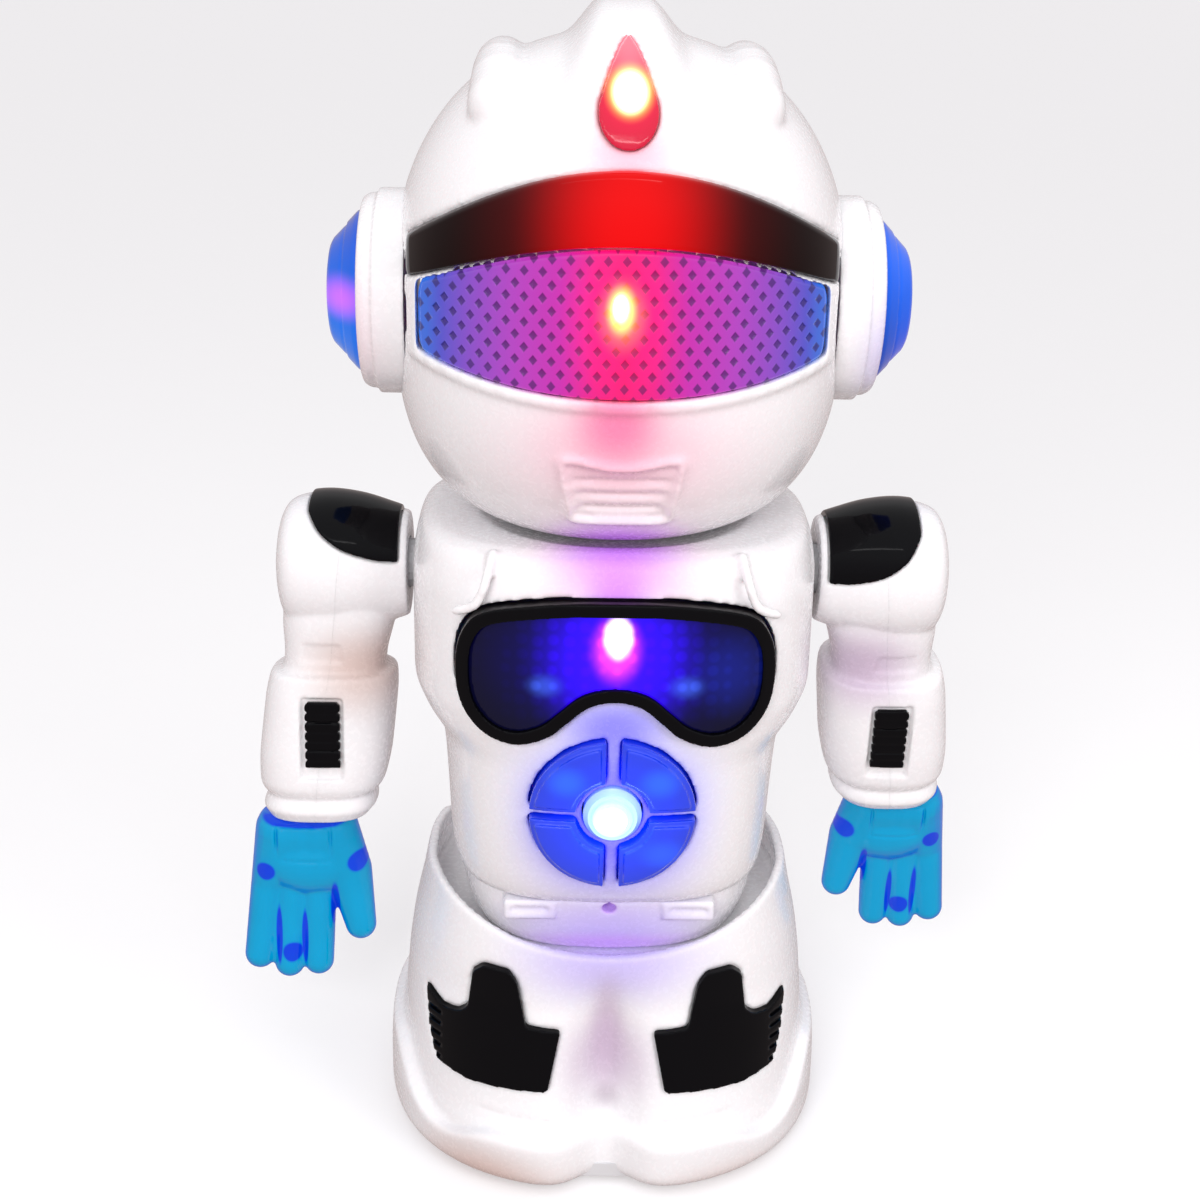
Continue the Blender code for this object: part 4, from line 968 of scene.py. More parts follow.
def emblem_lamp():
    """Clear lens with concentric steps over its light."""
    front = span("emblem_lamp")[0].y
    profile = [(0, front), (1.6, front + 0.1)]
    for i in range(4):
        radius = 2.0 + i * 0.95
        drop = 0.25 + 0.6 * i
        profile += [(radius, front + drop - 0.25), (radius + 0.35, front + drop + 0.45)]
    profile += [(EMBLEM_LAMP_R, front + 3.2), (EMBLEM_LAMP_R, front + 9.4), (0, front + 9.4)]
    lens = lathe("lens", profile, "Y", EMBLEM)
    material, tree, shader, place, _ = plastic("lamp_clear", (0.6, 0.85, 1.0), 0.05, coat=1.0)
    glow(
        tree, shader, place,
        [
            ((0.10, 0.45, 1.0), 1.3, (0, front, EMBLEM.z), (8, 12, 8)),
            ((0.55, 0.95, 1.0), 5.0, (-0.3, front, EMBLEM.z - 0.4), (4.4, 8, 4.4)),
        ],
    )
    finish_piece(lens, "emblem_lamp", "torso", material, angle=25)


def belt():
    """Belt ring under the torso with its two square pads."""
    low = span("waist_ring")[0]
    top = TORSO_LOW.z - GAP
    deck = joint_place("waist_turn").z
    stations = ((deck + 0.6, 0.70), (51.5, 0.735), (56.0, 0.765), (top, 0.780))
    rings = []
    for z, wide in eased(stations, 24):
        deep = wide + 0.055
        half_x, front, back = TORSO_HALF_X * wide, TORSO_FRONT * deep, TORSO_BACK * deep
        rings.append(super_ring(half_x, front, back, z, TRIM_POWER, 144))
    parts = [loft("ring", rings)]
    for side in (-1, 1):
        low_x, high_x = sorted((side * 11.0, side * 21.5))
        parts.append(box("pad", (low_x, low.y, 57.0), (high_x, -24.0, top)))
    ring = fuse(*parts)
    for side in (-1, 1):
        low_x, high_x = sorted((side * 12.4, side * 20.1))
        cut(ring, box("pad slot", (low_x, -FAR, 58.4), (high_x, low.y + 0.8, top - 1.3)))
    cut(ring, loft("well", [super_ring(26.0, 26.0, 22.0, z, TRIM_POWER, 96) for z in (deck + 2.6, FAR)]))
    spindle = [
        (0, low.z), (17.0, low.z), (17.0, low.z + 2.6), (13.6, low.z + 2.6), (13.6, deck + 1.6),
        (0, deck + 1.6),
    ]
    fuse(ring, lathe("spindle", spindle))
    cut(ring, rod("wire hole", 6.0, 40, 60))
    dimple_place = (0, -TORSO_FRONT * 0.8, 59.6)
    cut(ring, ball("dimple", dimple_place, (1.5, 3.6, 1.2)))
    soften(ring, 0.45, 3)
    # Painted light and shade: lilac glow over the belt's front, a violet painted shadow line along its lower edge,
    # and violet painted shade in the front dimple.
    spots = [
        (LILAC_GLOW_AND_SHADE, 0.95, (0, -33, 55), (34, 24, 14)),
        (VIOLET_GLOW_AND_SHADE, 0.45, (0, -31, 50), (30, 20, 5)),
        (VIOLET_GLOW_AND_SHADE, 1.0, dimple_place, (2.4, 6, 2.0)),
    ]
    finish_piece(ring, "waist_ring", "torso", white_shell("white_belt", spots))


# ---------------------------------------------------------------- head


def head_skin(name, grow=0.0, lift=(0.0, 0.0, 0.0)):
    """Egg-like head: rounder over the top than under the chin."""
    rings = []
    levels = 76
    for i in range(levels):
        angle = math.radians(-86 + 173 * i / (levels - 1))
        power = ROOF_POWER if angle > 0 else CHIN_POWER
        semi = (HEAD_UP if angle > 0 else HEAD_DOWN) + grow
        z = HEAD_Z + math.copysign(semi * abs(math.sin(angle)) ** (2 / power), angle)
        share = math.cos(angle) ** (2 / power)
        half_x = (HEAD_HALF_X + grow) * share
        rings.append(super_ring(half_x, (HEAD_FRONT + grow) * share, half_x, z, HEAD_POWER, 160))
    return moved(loft(name, rings), lift)


def head_front_y(x, z, grow=0.0):
    """Where the head's front surface lies at a place seen from the front."""
    above = z > HEAD_Z
    power = ROOF_POWER if above else CHIN_POWER
    semi = (HEAD_UP if above else HEAD_DOWN) + grow
    share = max(1.0 - (abs(z - HEAD_Z) / semi) ** power, 1e-6) ** (1 / power)
    across = min(abs(x) / ((HEAD_HALF_X + grow) * share), 0.9999)
    return -(HEAD_FRONT + grow) * share * (1.0 - across**HEAD_POWER) ** (1 / HEAD_POWER)


def arch_z(x, half_width, middle_z, side_z):
    return middle_z + (side_z - middle_z) * (x / half_width) ** 2


def arch(half_width, middle_z, side_z, steps=28):
    points = []
    for i in range(steps + 1):
        x = half_width * (2 * i / steps - 1)
        points.append((x, arch_z(x, half_width, middle_z, side_z)))
    return points


VISOR_HALF = 37.4
VISOR_ARCHES = ((VISOR_LOW.z, VISOR_LOW.z + 4.5), (VISOR_HIGH.z, VISOR_HIGH.z - 9.3))  # (middle, side)
BROW_HALF = 40.2
BROW_ARCHES = ((BROW_HIGH.z - 12.1, BROW_LOW.z), (BROW_HIGH.z, BROW_HIGH.z - 14.6))


def band_outline(half, arches):
    (low_middle, low_side), (high_middle, high_side) = arches
    return arch(half, low_middle, low_side) + arch(half, high_middle, high_side)[::-1]


def curved_sheet(name, half, arches, relief, depth, counts, corner=0.0):
    """Closed sheet on the head's front between two arches. relief(x, z, edge) is its height there."""
    (low_middle, low_side), (high_middle, high_side) = arches
    columns, rows = counts
    bm = bmesh.new()
    layers = []
    for back in (False, True):
        grid = []
        for j in range(rows + 1):
            v = j / rows
            row = []
            for i in range(columns + 1):
                s = 2 * i / columns - 1
                reach = half - corner * abs(2 * v - 1) ** 6
                x = reach * s
                low = arch_z(x, half, low_middle, low_side)
                high = arch_z(x, half, high_middle, high_side)
                z = low + (high - low) * v
                edge = min(z - low, high - z, reach * (1 - abs(s)))
                grow = -depth if back else relief(x, z, edge)
                row.append(bm.verts.new((x, head_front_y(x, z, grow), z)))
            grid.append(row)
        layers.append(grid)
    front, rear = layers
    for j in range(rows):
        for i in range(columns):
            bm.faces.new((front[j][i], front[j][i + 1], front[j + 1][i + 1], front[j + 1][i]))
            bm.faces.new((rear[j][i], rear[j + 1][i], rear[j + 1][i + 1], rear[j][i + 1]))
    rim = [(0, i) for i in range(columns)] + [(j, columns) for j in range(rows)]
    rim += [(rows, i) for i in range(columns, 0, -1)] + [(j, 0) for j in range(rows, 0, -1)]
    for (j, i), (next_j, next_i) in zip(rim, rim[1:] + rim[:1]):
        bm.faces.new((front[j][i], rear[j][i], rear[next_j][next_i], front[next_j][next_i]))
    return as_object(name, bm)


def edge_round(edge, radius):
    """Drop of a rounded edge at this distance from it."""
    if edge >= radius:
        return 0.0
    return radius - math.sqrt(max(radius**2 - (radius - edge) ** 2, 0.0))


DIMPLE_X = 3.2  # pitch of the dimples in a row
DIMPLE_Z = 4.4  # pitch of two rows
DIMPLE_WIDE = 0.60  # shares of the pitches that a dimple takes up
DIMPLE_TALL = 0.52


def dimple(x, z):
    """Depth share of the diamond dimples, staggered from row to row."""
    deepest = 0.0
    for shift in (0.0, 0.5):
        across = abs((x / DIMPLE_X + shift) % 1.0 - 0.5) * 2
        up = abs((z / DIMPLE_Z + shift) % 1.0 - 0.5) * 2
        deepest = max(deepest, 1.0 - (across / DIMPLE_WIDE + up / DIMPLE_TALL))
    return deepest


def dimple_mask(tree, place):
    """The same diamonds as dimple(), drawn with nodes."""
    split = tree.nodes.new("ShaderNodeSeparateXYZ")
    tree.links.new(place, split.inputs[0])
    masks = []
    for shift in (0.0, 0.5):
        terms = []
        for axis, pitch, size in (("X", DIMPLE_X, DIMPLE_WIDE), ("Z", DIMPLE_Z, DIMPLE_TALL)):
            turns = math_node(tree, "DIVIDE", split.outputs[axis], pitch * MM)
            turns = math_node(tree, "ADD", turns, shift)
            share = math_node(tree, "FLOORED_MODULO", turns, 1.0)
            away = math_node(tree, "ABSOLUTE", math_node(tree, "SUBTRACT", share, 0.5))
            terms.append(math_node(tree, "DIVIDE", away, size / 2))
        masks.append(math_node(tree, "SUBTRACT", 1.0, math_node(tree, "ADD", terms[0], terms[1])))
    deepest = math_node(tree, "MAXIMUM", masks[0], masks[1])
    return remap(tree, deepest, (0.02, 0.35), kind="SMOOTHSTEP")


def visor():
    """Dimpled visor lens and the smoked brow over it."""
    def lens_relief(x, z, edge):
        inside = smoothstep(1.6, 3.2, edge)
        return 0.4 - edge_round(edge, 0.7) - 0.45 * min(1.0, 1.8 * dimple(x, z)) * inside

    lens = curved_sheet("lens", VISOR_HALF - 0.1, VISOR_ARCHES, lens_relief, 1.4, (340, 110), corner=0.8)
    finish_piece(lens, "visor_lens", "head", visor_material(), angle=35)

    def brow_relief(x, z, edge):
        return 1.0 - edge_round(edge, 0.9)

    brow = curved_sheet("brow", BROW_HALF - 0.2, BROW_ARCHES, brow_relief, 1.0, (200, 60), corner=0.6)
    material, tree, shader, place, _ = plastic(
        "brow_smoked", (0.006, 0.001, 0.001), 0.06, Specular_IOR_Level=0.15
    )
    middle = (BROW_LOW.z + BROW_HIGH.z) / 2 + 3
    glow(
        tree, shader, place,
        [
            ((1.0, 0.0, 0.0), 0.80, (0.6, -44, middle), (23, 40, 40)),
            ((1.0, 0.0, 0.01), 0.14, (0, -40, middle), (36, 40, 40)),
        ],
    )
    finish_piece(brow, "visor_brow", "head", material, angle=35)


def visor_material():
    """Blue-violet lens lit from behind: red in the middle, blue at the ends, darker dimples."""
    material, tree, shader, place, _ = plastic(
        "visor_lens", (0.03, 0.01, 0.10), 0.07, grain=0.1, Specular_IOR_Level=0.4
    )
    middle = (VISOR_LOW.z + VISOR_HIGH.z) / 2
    split = tree.nodes.new("ShaderNodeSeparateXYZ")
    tree.links.new(place, split.inputs[0])
    aside = math_node(tree, "DIVIDE", math_node(tree, "ABSOLUTE", split.outputs["X"]), VISOR_HALF * MM)
    body = colour_ramp(
        tree, aside,
        [
            (0.0, (0.92, 0.0, 0.09)), (0.14, (0.88, 0.004, 0.16)), (0.30, (0.62, 0.02, 0.36)),
            (0.52, (0.46, 0.05, 0.46)), (0.74, (0.22, 0.07, 0.50)), (0.88, (0.06, 0.08, 0.52)),
            (0.95, (0.01, 0.13, 0.60)),
        ],
    )
    dimples = dimple_mask(tree, place)
    spots = (
        ((1.0, 0.0, 0.02), 0.35, (-1, -46, middle + 1), (14, 40, 20)),
        ((1.0, 0.25, 0.0), 1.1, (-0.6, -46, middle + 2.0), (6.0, 20, 8.5)),
        (WARM, 3.0, (-0.8, -46, middle + 3), (3.4, 20, 5.6)),
        (HOT, 6.0, (-0.9, -46, middle + 3.4), (1.9, 20, 3.2)),
    )
    shade = math_node(tree, "SUBTRACT", 1.0, math_node(tree, "MULTIPLY", dimples, 0.72))
    total = mix_colour(tree, 1.0, body, shade, "MULTIPLY")
    tree.links.new(added_light(tree, place, spots, total), shader.inputs["Emission Color"])
    shader.inputs["Emission Strength"].default_value = 0.95
    return material


def lamp_outline():
    """Teardrop with its point up."""
    low, high = LAMP_LOW.z, LAMP_HIGH.z
    middle = low + 5.9
    ring = [(x, middle + z) for x, z in arc(5.2, 5.9, math.radians(-90), math.radians(30), 12)]
    return both_sides([(0.0, ring[0][1])] + ring[1:] + [(3.0, high - 5.1), (1.4, high - 1.9), (0.0, high)])


def crest_skin(name, grow=0.0):
    return head_skin(name, grow, CREST_LIFT)


def roof_bump(sign):
    """Rounded horn on the roof, standing out furthest at its lower front end."""
    x = sign * 22.75
    path = []
    radii = []
    for i in range(5):
        y = -21.5 + 24.0 * i / 4
        share = (abs(y) / HEAD_FRONT) ** HEAD_POWER + (abs(x) / HEAD_HALF_X) ** HEAD_POWER
        z = HEAD_Z + HEAD_UP * (1.0 - share ** (ROOF_POWER / HEAD_POWER)) ** (1 / ROOF_POWER)
        path.append((x, y + 1.2, z - 1.6))
        radii.append(5.9 - 0.2 * i)
    return capsule("bump", path, radii)


def raise_crest(shell):
    """Pull the roof up into the crest, whose flanks flare out into the head."""
    for vertex in shell.data.vertices:
        height = vertex.co.z - HEAD_Z
        half_width = 7.4 - 3.4 * smoothstep(34.0, 58.0, height)
        share = 1.0 - smoothstep(half_width - 1.2, half_width + 6.5, abs(vertex.co.x))
        share *= smoothstep(22.0, 29.0, height) * (1.0 - smoothstep(14.0, 26.0, vertex.co.y))
        vertex.co += CREST_LIFT * share


def head():
    """Hollow head with crest, bumps, visor rim and chin vent, split into a front and a rear half."""
    shell = head_skin("head")
    raise_crest(shell)
    cut(shell, head_skin("hollow", -WALL))
    for sign in SIDES.values():
        bump = soften(roof_bump(sign), 0.5, 6)
        fuse(shell, cut(bump, head_skin("inside", -0.8)))
    cut(shell, rod("neck hole", NECK_HOLE_R, 120, 150))
    visor_line = band_outline(VISOR_HALF, VISOR_ARCHES)
    fuse(shell, band("rim", head_skin, grown(visor_line, GAP), 2.0, 0.6, 0.9, -6.0))
    cut(shell, prism("visor window", grown(visor_line, GAP), "Y", -FAR, -6))
    brow_line = band_outline(BROW_HALF, BROW_ARCHES)
    sink(shell, grown(brow_line, GAP), -6, head_skin("floor", -1.0 - GAP))
    sink(shell, grown(lamp_outline(), LENS_GAP), -2.4, crest_skin("floor", -2.0 - GAP))
    ring_low, ring_high = span("ear_ring_left")
    for sign in SIDES.values():
        low, high = sorted((sign * 37.0, sign * 90.0))
        cut(shell, rod("ear hole", (ring_high.z - ring_low.z) / 2 + GAP, low, high, "X", (0, 0, EAR_Z)))
    chin_vent(shell)
    # Painted light and shade on the head: pink and rose glow from the visor and crest lamps on the chin, cheeks
    # and forehead, and violet painted glow and shade under the chin by the neck.
    spots = [
        (PINK_GLOW, 0.70, (0, -44, VISOR_LOW.z - 12), (40, 34, 24)),
        (PINK_GLOW, 0.50, (0, -34, LAMP_LOW.z), (18, 30, 14)),
        (ROSE_GLOW, 0.85, (-1, -44, VISOR_LOW.z - 4), (12, 20, 13)),
        (ROSE_GLOW, 0.35, (-1, -44, VISOR_LOW.z - 8), (22, 26, 18)),
        (VIOLET_GLOW_AND_SHADE, 0.75, (0, -34, NECK_Z + 3), (20, 26, 12)),
        (ROSE_GLOW, 0.40, (0, -42, VISOR_HIGH.z + 15), (12, 20, 8)),
    ]
    material = white_shell("white_head", spots)
    soften(shell, 0.62, 8)
    finish_halves(shell, ("head_front_shell", "head_rear_shell"), "head", material)


def chin_vent(shell):
    """Trapezoid frame on the chin with three louvres between shallow slots."""
    low = NECK_Z + 13.0
    frame_line = [
        (-8.6, low - 2.2), (8.6, low - 2.2), (10.6, low + 10.4), (1.2, low + 8.8),
        (-1.2, low + 8.8), (-10.6, low + 10.4),
    ]
    fuse(shell, band("vent frame", head_skin, rounded(frame_line, 0.8), 1.0, 0.5, 0.9, -10))
    cut(shell, inlay("vent bed", head_skin, frame_line, 2.0, 0.35, -10))
    for i in range(3):
        z = low + 2.9 * i
        half_x = 7.6 + 0.7 * i
        slot = rounded(rectangle(-half_x, half_x, z, z + 1.5), 0.5)
        cut(shell, inlay("vent slot", head_skin, slot, 2.0, 1.1, -10))


def crest_lamp():
    lamp = inlay("lamp", crest_skin, lamp_outline(), 0.9, 1.8, -2.6)
    soften(lamp, 0.28, 6)
    material, tree, shader, place, _ = plastic("lamp_red", (0.50, 0.003, 0.03), 0.06)
    hot = LAMP_LOW.z + 9.0
    glow(
        tree, shader, place,
        [
            ((1.0, 0.0, 0.08), 0.45, (0, -20, hot), (12, 40, 16)),
            ((1.0, 0.35, 0.40), 0.70, (0, -20, LAMP_HIGH.z - 2), (8, 30, 12)),
            ((1.0, 0.25, 0.0), 1.6, (0.4, -28, hot), (5.0, 20, 5.2)),
            (WARM, 4.0, (0.2, -28, hot), (5.4, 20, 5.8)),
            (HOT, 8.0, (0.2, -28, hot), (4.1, 20, 4.5)),
        ],
    )
    finish_piece(lamp, "crest_lamp", "head", material)


def ears():
    """A stepped white cup with a blunt blue cone in it, grooved round its shoulder."""
    # Painted glow from the lit ear lenses on the cups: lilac on the left one, pink on the right one.
    spots = [
        (LILAC_GLOW_AND_SHADE, 0.6, (52, -14, EAR_Z - 6), (12, 16, 20)),
        (PINK_GLOW, 0.5, (-52, -14, EAR_Z - 4), (12, 16, 20)),
    ]
    white = white_shell("white_ears", spots)
    blue, tree, shader, place, _ = plastic(
        "ear_blue", (0.01, 0.10, 0.72), 0.06, grain=0.4, coat=0.2, Specular_IOR_Level=0.25
    )
    glow(
        tree, shader, place,
        [
            ((0.0, 0.16, 0.9), 0.45, (50, -4, EAR_Z + 6), (18, 22, 20)),
            ((0.0, 0.03, 1.0), 0.55, (53, 2, EAR_Z - 6), (16, 20, 16)),
            ((0.0, 0.25, 0.9), 0.55, (-50, -4, EAR_Z - 4), (18, 26, 22)),
            ((0.85, 0.02, 0.65), 0.80, (-52, -10, EAR_Z + 1), (9, 16, 6)),
        ],
    )
    for side, sign in SIDES.items():
        ring_low, ring_high = span("ear_ring_" + side)
        lens_low, lens_high = span("ear_lens_" + side)
        inner, outer = sorted((abs(ring_low.x), abs(ring_high.x)))
        radius = (ring_high.z - ring_low.z) / 2
        lens_r = (lens_high.z - lens_low.z) / 2
        lens_in, tip = sorted((abs(lens_low.x), abs(lens_high.x)))
        cup = [
            (0, inner), (radius, inner), (radius, outer - 3.2), (radius - 0.9, outer - 2.9),
            (radius - 1.0, outer - 1.4), (radius - 1.6, outer - 0.3), (radius - 2.2, outer),
            (lens_r + 1.0, outer), (lens_r + GAP, outer - 1.0), (lens_r + GAP, inner + 1.4), (0, inner + 1.4),
        ]
        ring = lathe("ring", [(r, sign * x) for r, x in cup], "X", (0, 0, EAR_Z), 128)
        soften(ring, 0.32, 3)
        finish_piece(ring, "ear_ring_" + side, "head", white)
        cone = [
            (0, lens_in), (lens_r, lens_in), (lens_r, tip - 6.6), (lens_r - 0.5, tip - 5.6),
            (lens_r - 2.6, tip - 3.6), (lens_r - 3.0, tip - 3.9), (lens_r - 3.5, tip - 3.0),
            (10.2, tip - 0.9), (9.2, tip - 0.4), (7.0, tip), (6.4, tip - 0.5), (5.6, tip - 0.1),
            (3.0, tip), (0, tip),
        ]
        lens = lathe("lens", [(r, sign * x) for r, x in cone], "X", (0, 0, EAR_Z), 128)
        soften(lens, 0.3, 2)
        finish_piece(lens, "ear_lens_" + side, "head", blue)


# ---------------------------------------------------------------- arms


SPLAY = 0.11  # sideways run of the arm's centre line for each millimetre down
ARM_X = 55.4
WRIST_Z = SHOULDER_Z - 53.7
BARREL_R = 14.6
BARREL_IN_X = joint_place("left_shoulder").x
BARREL_OUT_X = BARREL_IN_X + 27.3


def arm_centre(z):
    return ARM_X + (SHOULDER_Z - z) * SPLAY


def arm_swing(side):
    """The joint's place, and the angle about X at which this arm was left hanging."""
    low, high = span(side + "_hand_front", side + "_hand_rear")
    pivot = joint_place(side + "_shoulder")
    middle = (low + high) / 2
    return pivot, math.atan2(middle.y - pivot.y, pivot.z - middle.z)


def barrel_skin(name, sign, grow=0.0):
    """Shoulder barrel, turned about the axle and rounded at its outer end."""
    profile = curved(
        [
            (10.8, BARREL_IN_X), (12.0, BARREL_IN_X + 3.5), (13.9, BARREL_IN_X + 10.0),
            (BARREL_R, BARREL_IN_X + 17.0), (13.4, BARREL_IN_X + 23.2), (10.4, BARREL_IN_X + 25.8),
            (5.2, BARREL_OUT_X - 0.3),
        ],
        6, closed=False,
    )
    inner_radius = profile[0][0]
    profile = [(r + grow, x) for r, x in profile[1:]]
    profile = [(0, BARREL_IN_X - grow), (inner_radius + grow, BARREL_IN_X - grow)] + profile
    profile.append((0, BARREL_OUT_X + grow))
    return lathe(name, [(r, sign * x) for r, x in profile], "X", (0, 0, SHOULDER_Z), 112)


def limb_skin(name, sign, grow=0.0):
    """Upper arm, gauntlet and wrist ring in one lofted form."""
    stations = (
        # height, half width, half depth
        (WRIST_Z - grow, 10.3, 10.3),
        (WRIST_Z + 1.6, 11.4, 11.4),
        (WRIST_Z + 2.4, 11.9, 11.9),
        (WRIST_Z + 4.0, 11.6, 11.6),
        (WRIST_Z + 5.0, 10.9, 10.9),
        (WRIST_Z + 6.2, 12.2, 12.0),
        (WRIST_Z + 8.2, 13.1, 12.9),
        (WRIST_Z + 15.0, 13.7, 13.4),
        (WRIST_Z + 25.7, 13.6, 13.3),
        (WRIST_Z + 30.6, 13.1, 12.8),
        (WRIST_Z + 31.6, 12.6, 12.3),
        (WRIST_Z + 32.1, 10.6, 10.7),
        (WRIST_Z + 34.0, 10.5, 10.6),
        (WRIST_Z + 43.2, 11.6, 11.6),
        (SHOULDER_Z + grow, 11.8, 12.0),
    )
    rings = []
    for z, half_x, half_y in eased(stations, 150):
        centre = sign * arm_centre(z)
        rings.append(super_ring(half_x + grow, half_y + grow, half_y + grow, z, TRIM_POWER, 112, centre))
    return loft(name, rings)


RIBS = 7
RIB_PITCH = 2.0
RIB_LOW = WRIST_Z + 13.2


def forearm_patch_outline(sign):
    """Patch outline with ribbed sides: each rib is a small step out and back."""
    half_x = 3.6
    notch_x = half_x - 0.5
    right = []
    for i in range(RIBS):
        z = RIB_LOW + i * RIB_PITCH
        right += [(half_x, z), (half_x, z + RIB_PITCH * 0.62)]
        right += [(notch_x, z + RIB_PITCH * 0.7), (notch_x, z + RIB_PITCH * 0.92)]
    left = [(-x, z) for x, z in reversed(right)]
    centre = sign * arm_centre(WRIST_Z + 21.2)
    return [(centre + x, z) for x, z in right + left]


def shoulder_saddle(name, sign, margin=0.0):
    """Saddle over the barrel, deepest beside the torso, in which the black lid lies."""
    inner_x = BARREL_IN_X + 1.6
    above = SHOULDER_Z + 30.0
    edge = [(inner_x, SHOULDER_Z + 2.3)]
    edge += curved([
        (inner_x + 1.5, SHOULDER_Z + 2.4), (BARREL_IN_X + 6.5, SHOULDER_Z + 2.9),
        (BARREL_IN_X + 12.5, SHOULDER_Z + 4.9), (BARREL_IN_X + 17.0, SHOULDER_Z + 8.1),
        (BARREL_IN_X + 19.8, SHOULDER_Z + 12.1),
    ], 5, closed=False)
    outline = grown(edge + [(BARREL_IN_X + 19.8, above), (inner_x, above)], margin)
    return prism(name, [(sign * x, z) for x, z in outline], "Y", -FAR, FAR)


def arm_shell(side, sign, white):
    """Hollow arm with beds for both black patches and a small tab, split along its centre plane."""
    body = side + "_arm"
    shell = fuse(barrel_skin("arm", sign), limb_skin("limb", sign))
    hollow = fuse(barrel_skin("hollow", sign, -WALL), limb_skin("inside", sign, -WALL))
    cut(shell, hollow)
    axle = sorted((sign * 30.0, sign * 50.0))
    cut(shell, rod("axle hole", AXLE_HOLE_R, *axle, "X", (0, 0, SHOULDER_Z)))
    wrist_x = sign * arm_centre(WRIST_Z)
    cut(shell, rod("wrist hole", 6.3, WRIST_Z - 5, WRIST_Z + 3.5, "Z", (wrist_x, 0, 0)))
    cut(shell, cut(shoulder_saddle("bed", sign, GAP), barrel_skin("floor", sign, -1.1)))
    centre = sign * arm_centre(WRIST_Z + 19.0)
    bed = rounded(rectangle(centre - 4.4, centre + 4.4, WRIST_Z + 10.2, WRIST_Z + 27.8), 0.8)
    sink(shell, bed, -4, limb_skin("floor", sign, -1.0))
    tab = rounded([
        (centre - 4.6, WRIST_Z + 34.4), (centre + 4.6, WRIST_Z + 34.4),
        (centre + 4.0, WRIST_Z + 38.6), (centre - 4.0, WRIST_Z + 38.6),
    ], 0.6)
    sink(shell, tab, -4, limb_skin("tab floor", sign, -0.5))
    names = (body + "_inner_shell", body + "_outer_shell")[::sign]
    parting_x = sign * arm_centre(0)
    soften(shell, 0.42, 7)
    finish_halves(
        shell, names, body, white, arm_swing(side), "X", parting_x, sign * SPLAY
    )


def arm_patches(side, sign, black):
    """Black lid on the shoulder and ribbed patch on the forearm."""
    body = side + "_arm"
    swing = arm_swing(side)
    lid = keep(barrel_skin("lid", sign, 0.6), shoulder_saddle("lid side", sign))
    cut(lid, barrel_skin("core", sign, -0.8))
    soften(lid, 0.28, 5)
    finish_piece(lid, side + "_shoulder_patch", body, black, swing)

    outline = prism("outline", forearm_patch_outline(sign), "Y", -FAR, -4)
    patch = keep(limb_skin("patch", sign, 0.6), outline)
    centre = sign * arm_centre(WRIST_Z + 19.0)
    cut(patch, limb_skin("core", sign, -0.8))
    for i in range(1, RIBS):
        z = RIB_LOW + RIB_PITCH * i - 0.55
        line = box("rib line", (centre - 6, -FAR, z), (centre + 6, -4, z + 0.45))
        cut(patch, cut(line, limb_skin("line floor", sign, 0.15)))
    soften(patch, 0.24, 3)
    finish_piece(patch, side + "_forearm_patch", body, black, swing)


# ---------------------------------------------------------------- hands


SHADES = (
    # darker pins, and painted shade in the folds and in the band under the cuff: x outwards from the palm, height
    # over the wrist, half width, half length
    (8.6, -12.5, 2.8, 2.8),
    (-11.0, -10.2, 2.9, 2.9),
    (3.2, -31.0, 2.9, 2.9),
    (6.1, -27.5, 1.0, 8.5),
    (0.6, -28.0, 1.0, 8.0),
    (-6.0, -21.0, 1.5, 8.0),
    (0.0, -0.6, 13.0, 1.9),
)
FINGERS = (
    # x at the knuckle, x at the tip, depth of the tip below the wrist, radius at the tip
    (8.6, 10.6, 32.8, 3.4),
    (3.3, 4.3, 34.9, 3.3),
    (-2.0, -2.0, 34.3, 3.3),
)


def hand_centre():
    return arm_centre(WRIST_Z - 10.8) + 1.7


def hand_form(sign):
    """Half-open mitten hand: fingers and thumb fan out from the cuff and melt into one palm."""
    centre = hand_centre()

    def at(x, y, z):
        return (sign * (centre + x), y, WRIST_Z + z)

    parts = []
    for knuckle_x, tip_x, depth, radius in FINGERS:
        root = at(0.62 * knuckle_x - 0.6, 0, -5.0)
        path = [root, at(knuckle_x, 0.4, -17.0), at(tip_x, -1.2, -depth)]
        parts.append(capsule("finger", path, [6.6, 4.0, radius]))
    thumb = [at(-4.6, 0, -5.0), at(-8.6, 0.2, -14.0), at(-11.2, -1.4, -25.8)]
    parts.append(capsule("thumb", thumb, [6.4, 5.0, 3.4]))
    parts.append(ball("palm", at(-0.5, 0.2, -11.0), (11.0, 6.7, 8.6)))
    form = join("hand", parts)
    return soften(form, 0.40, 3)


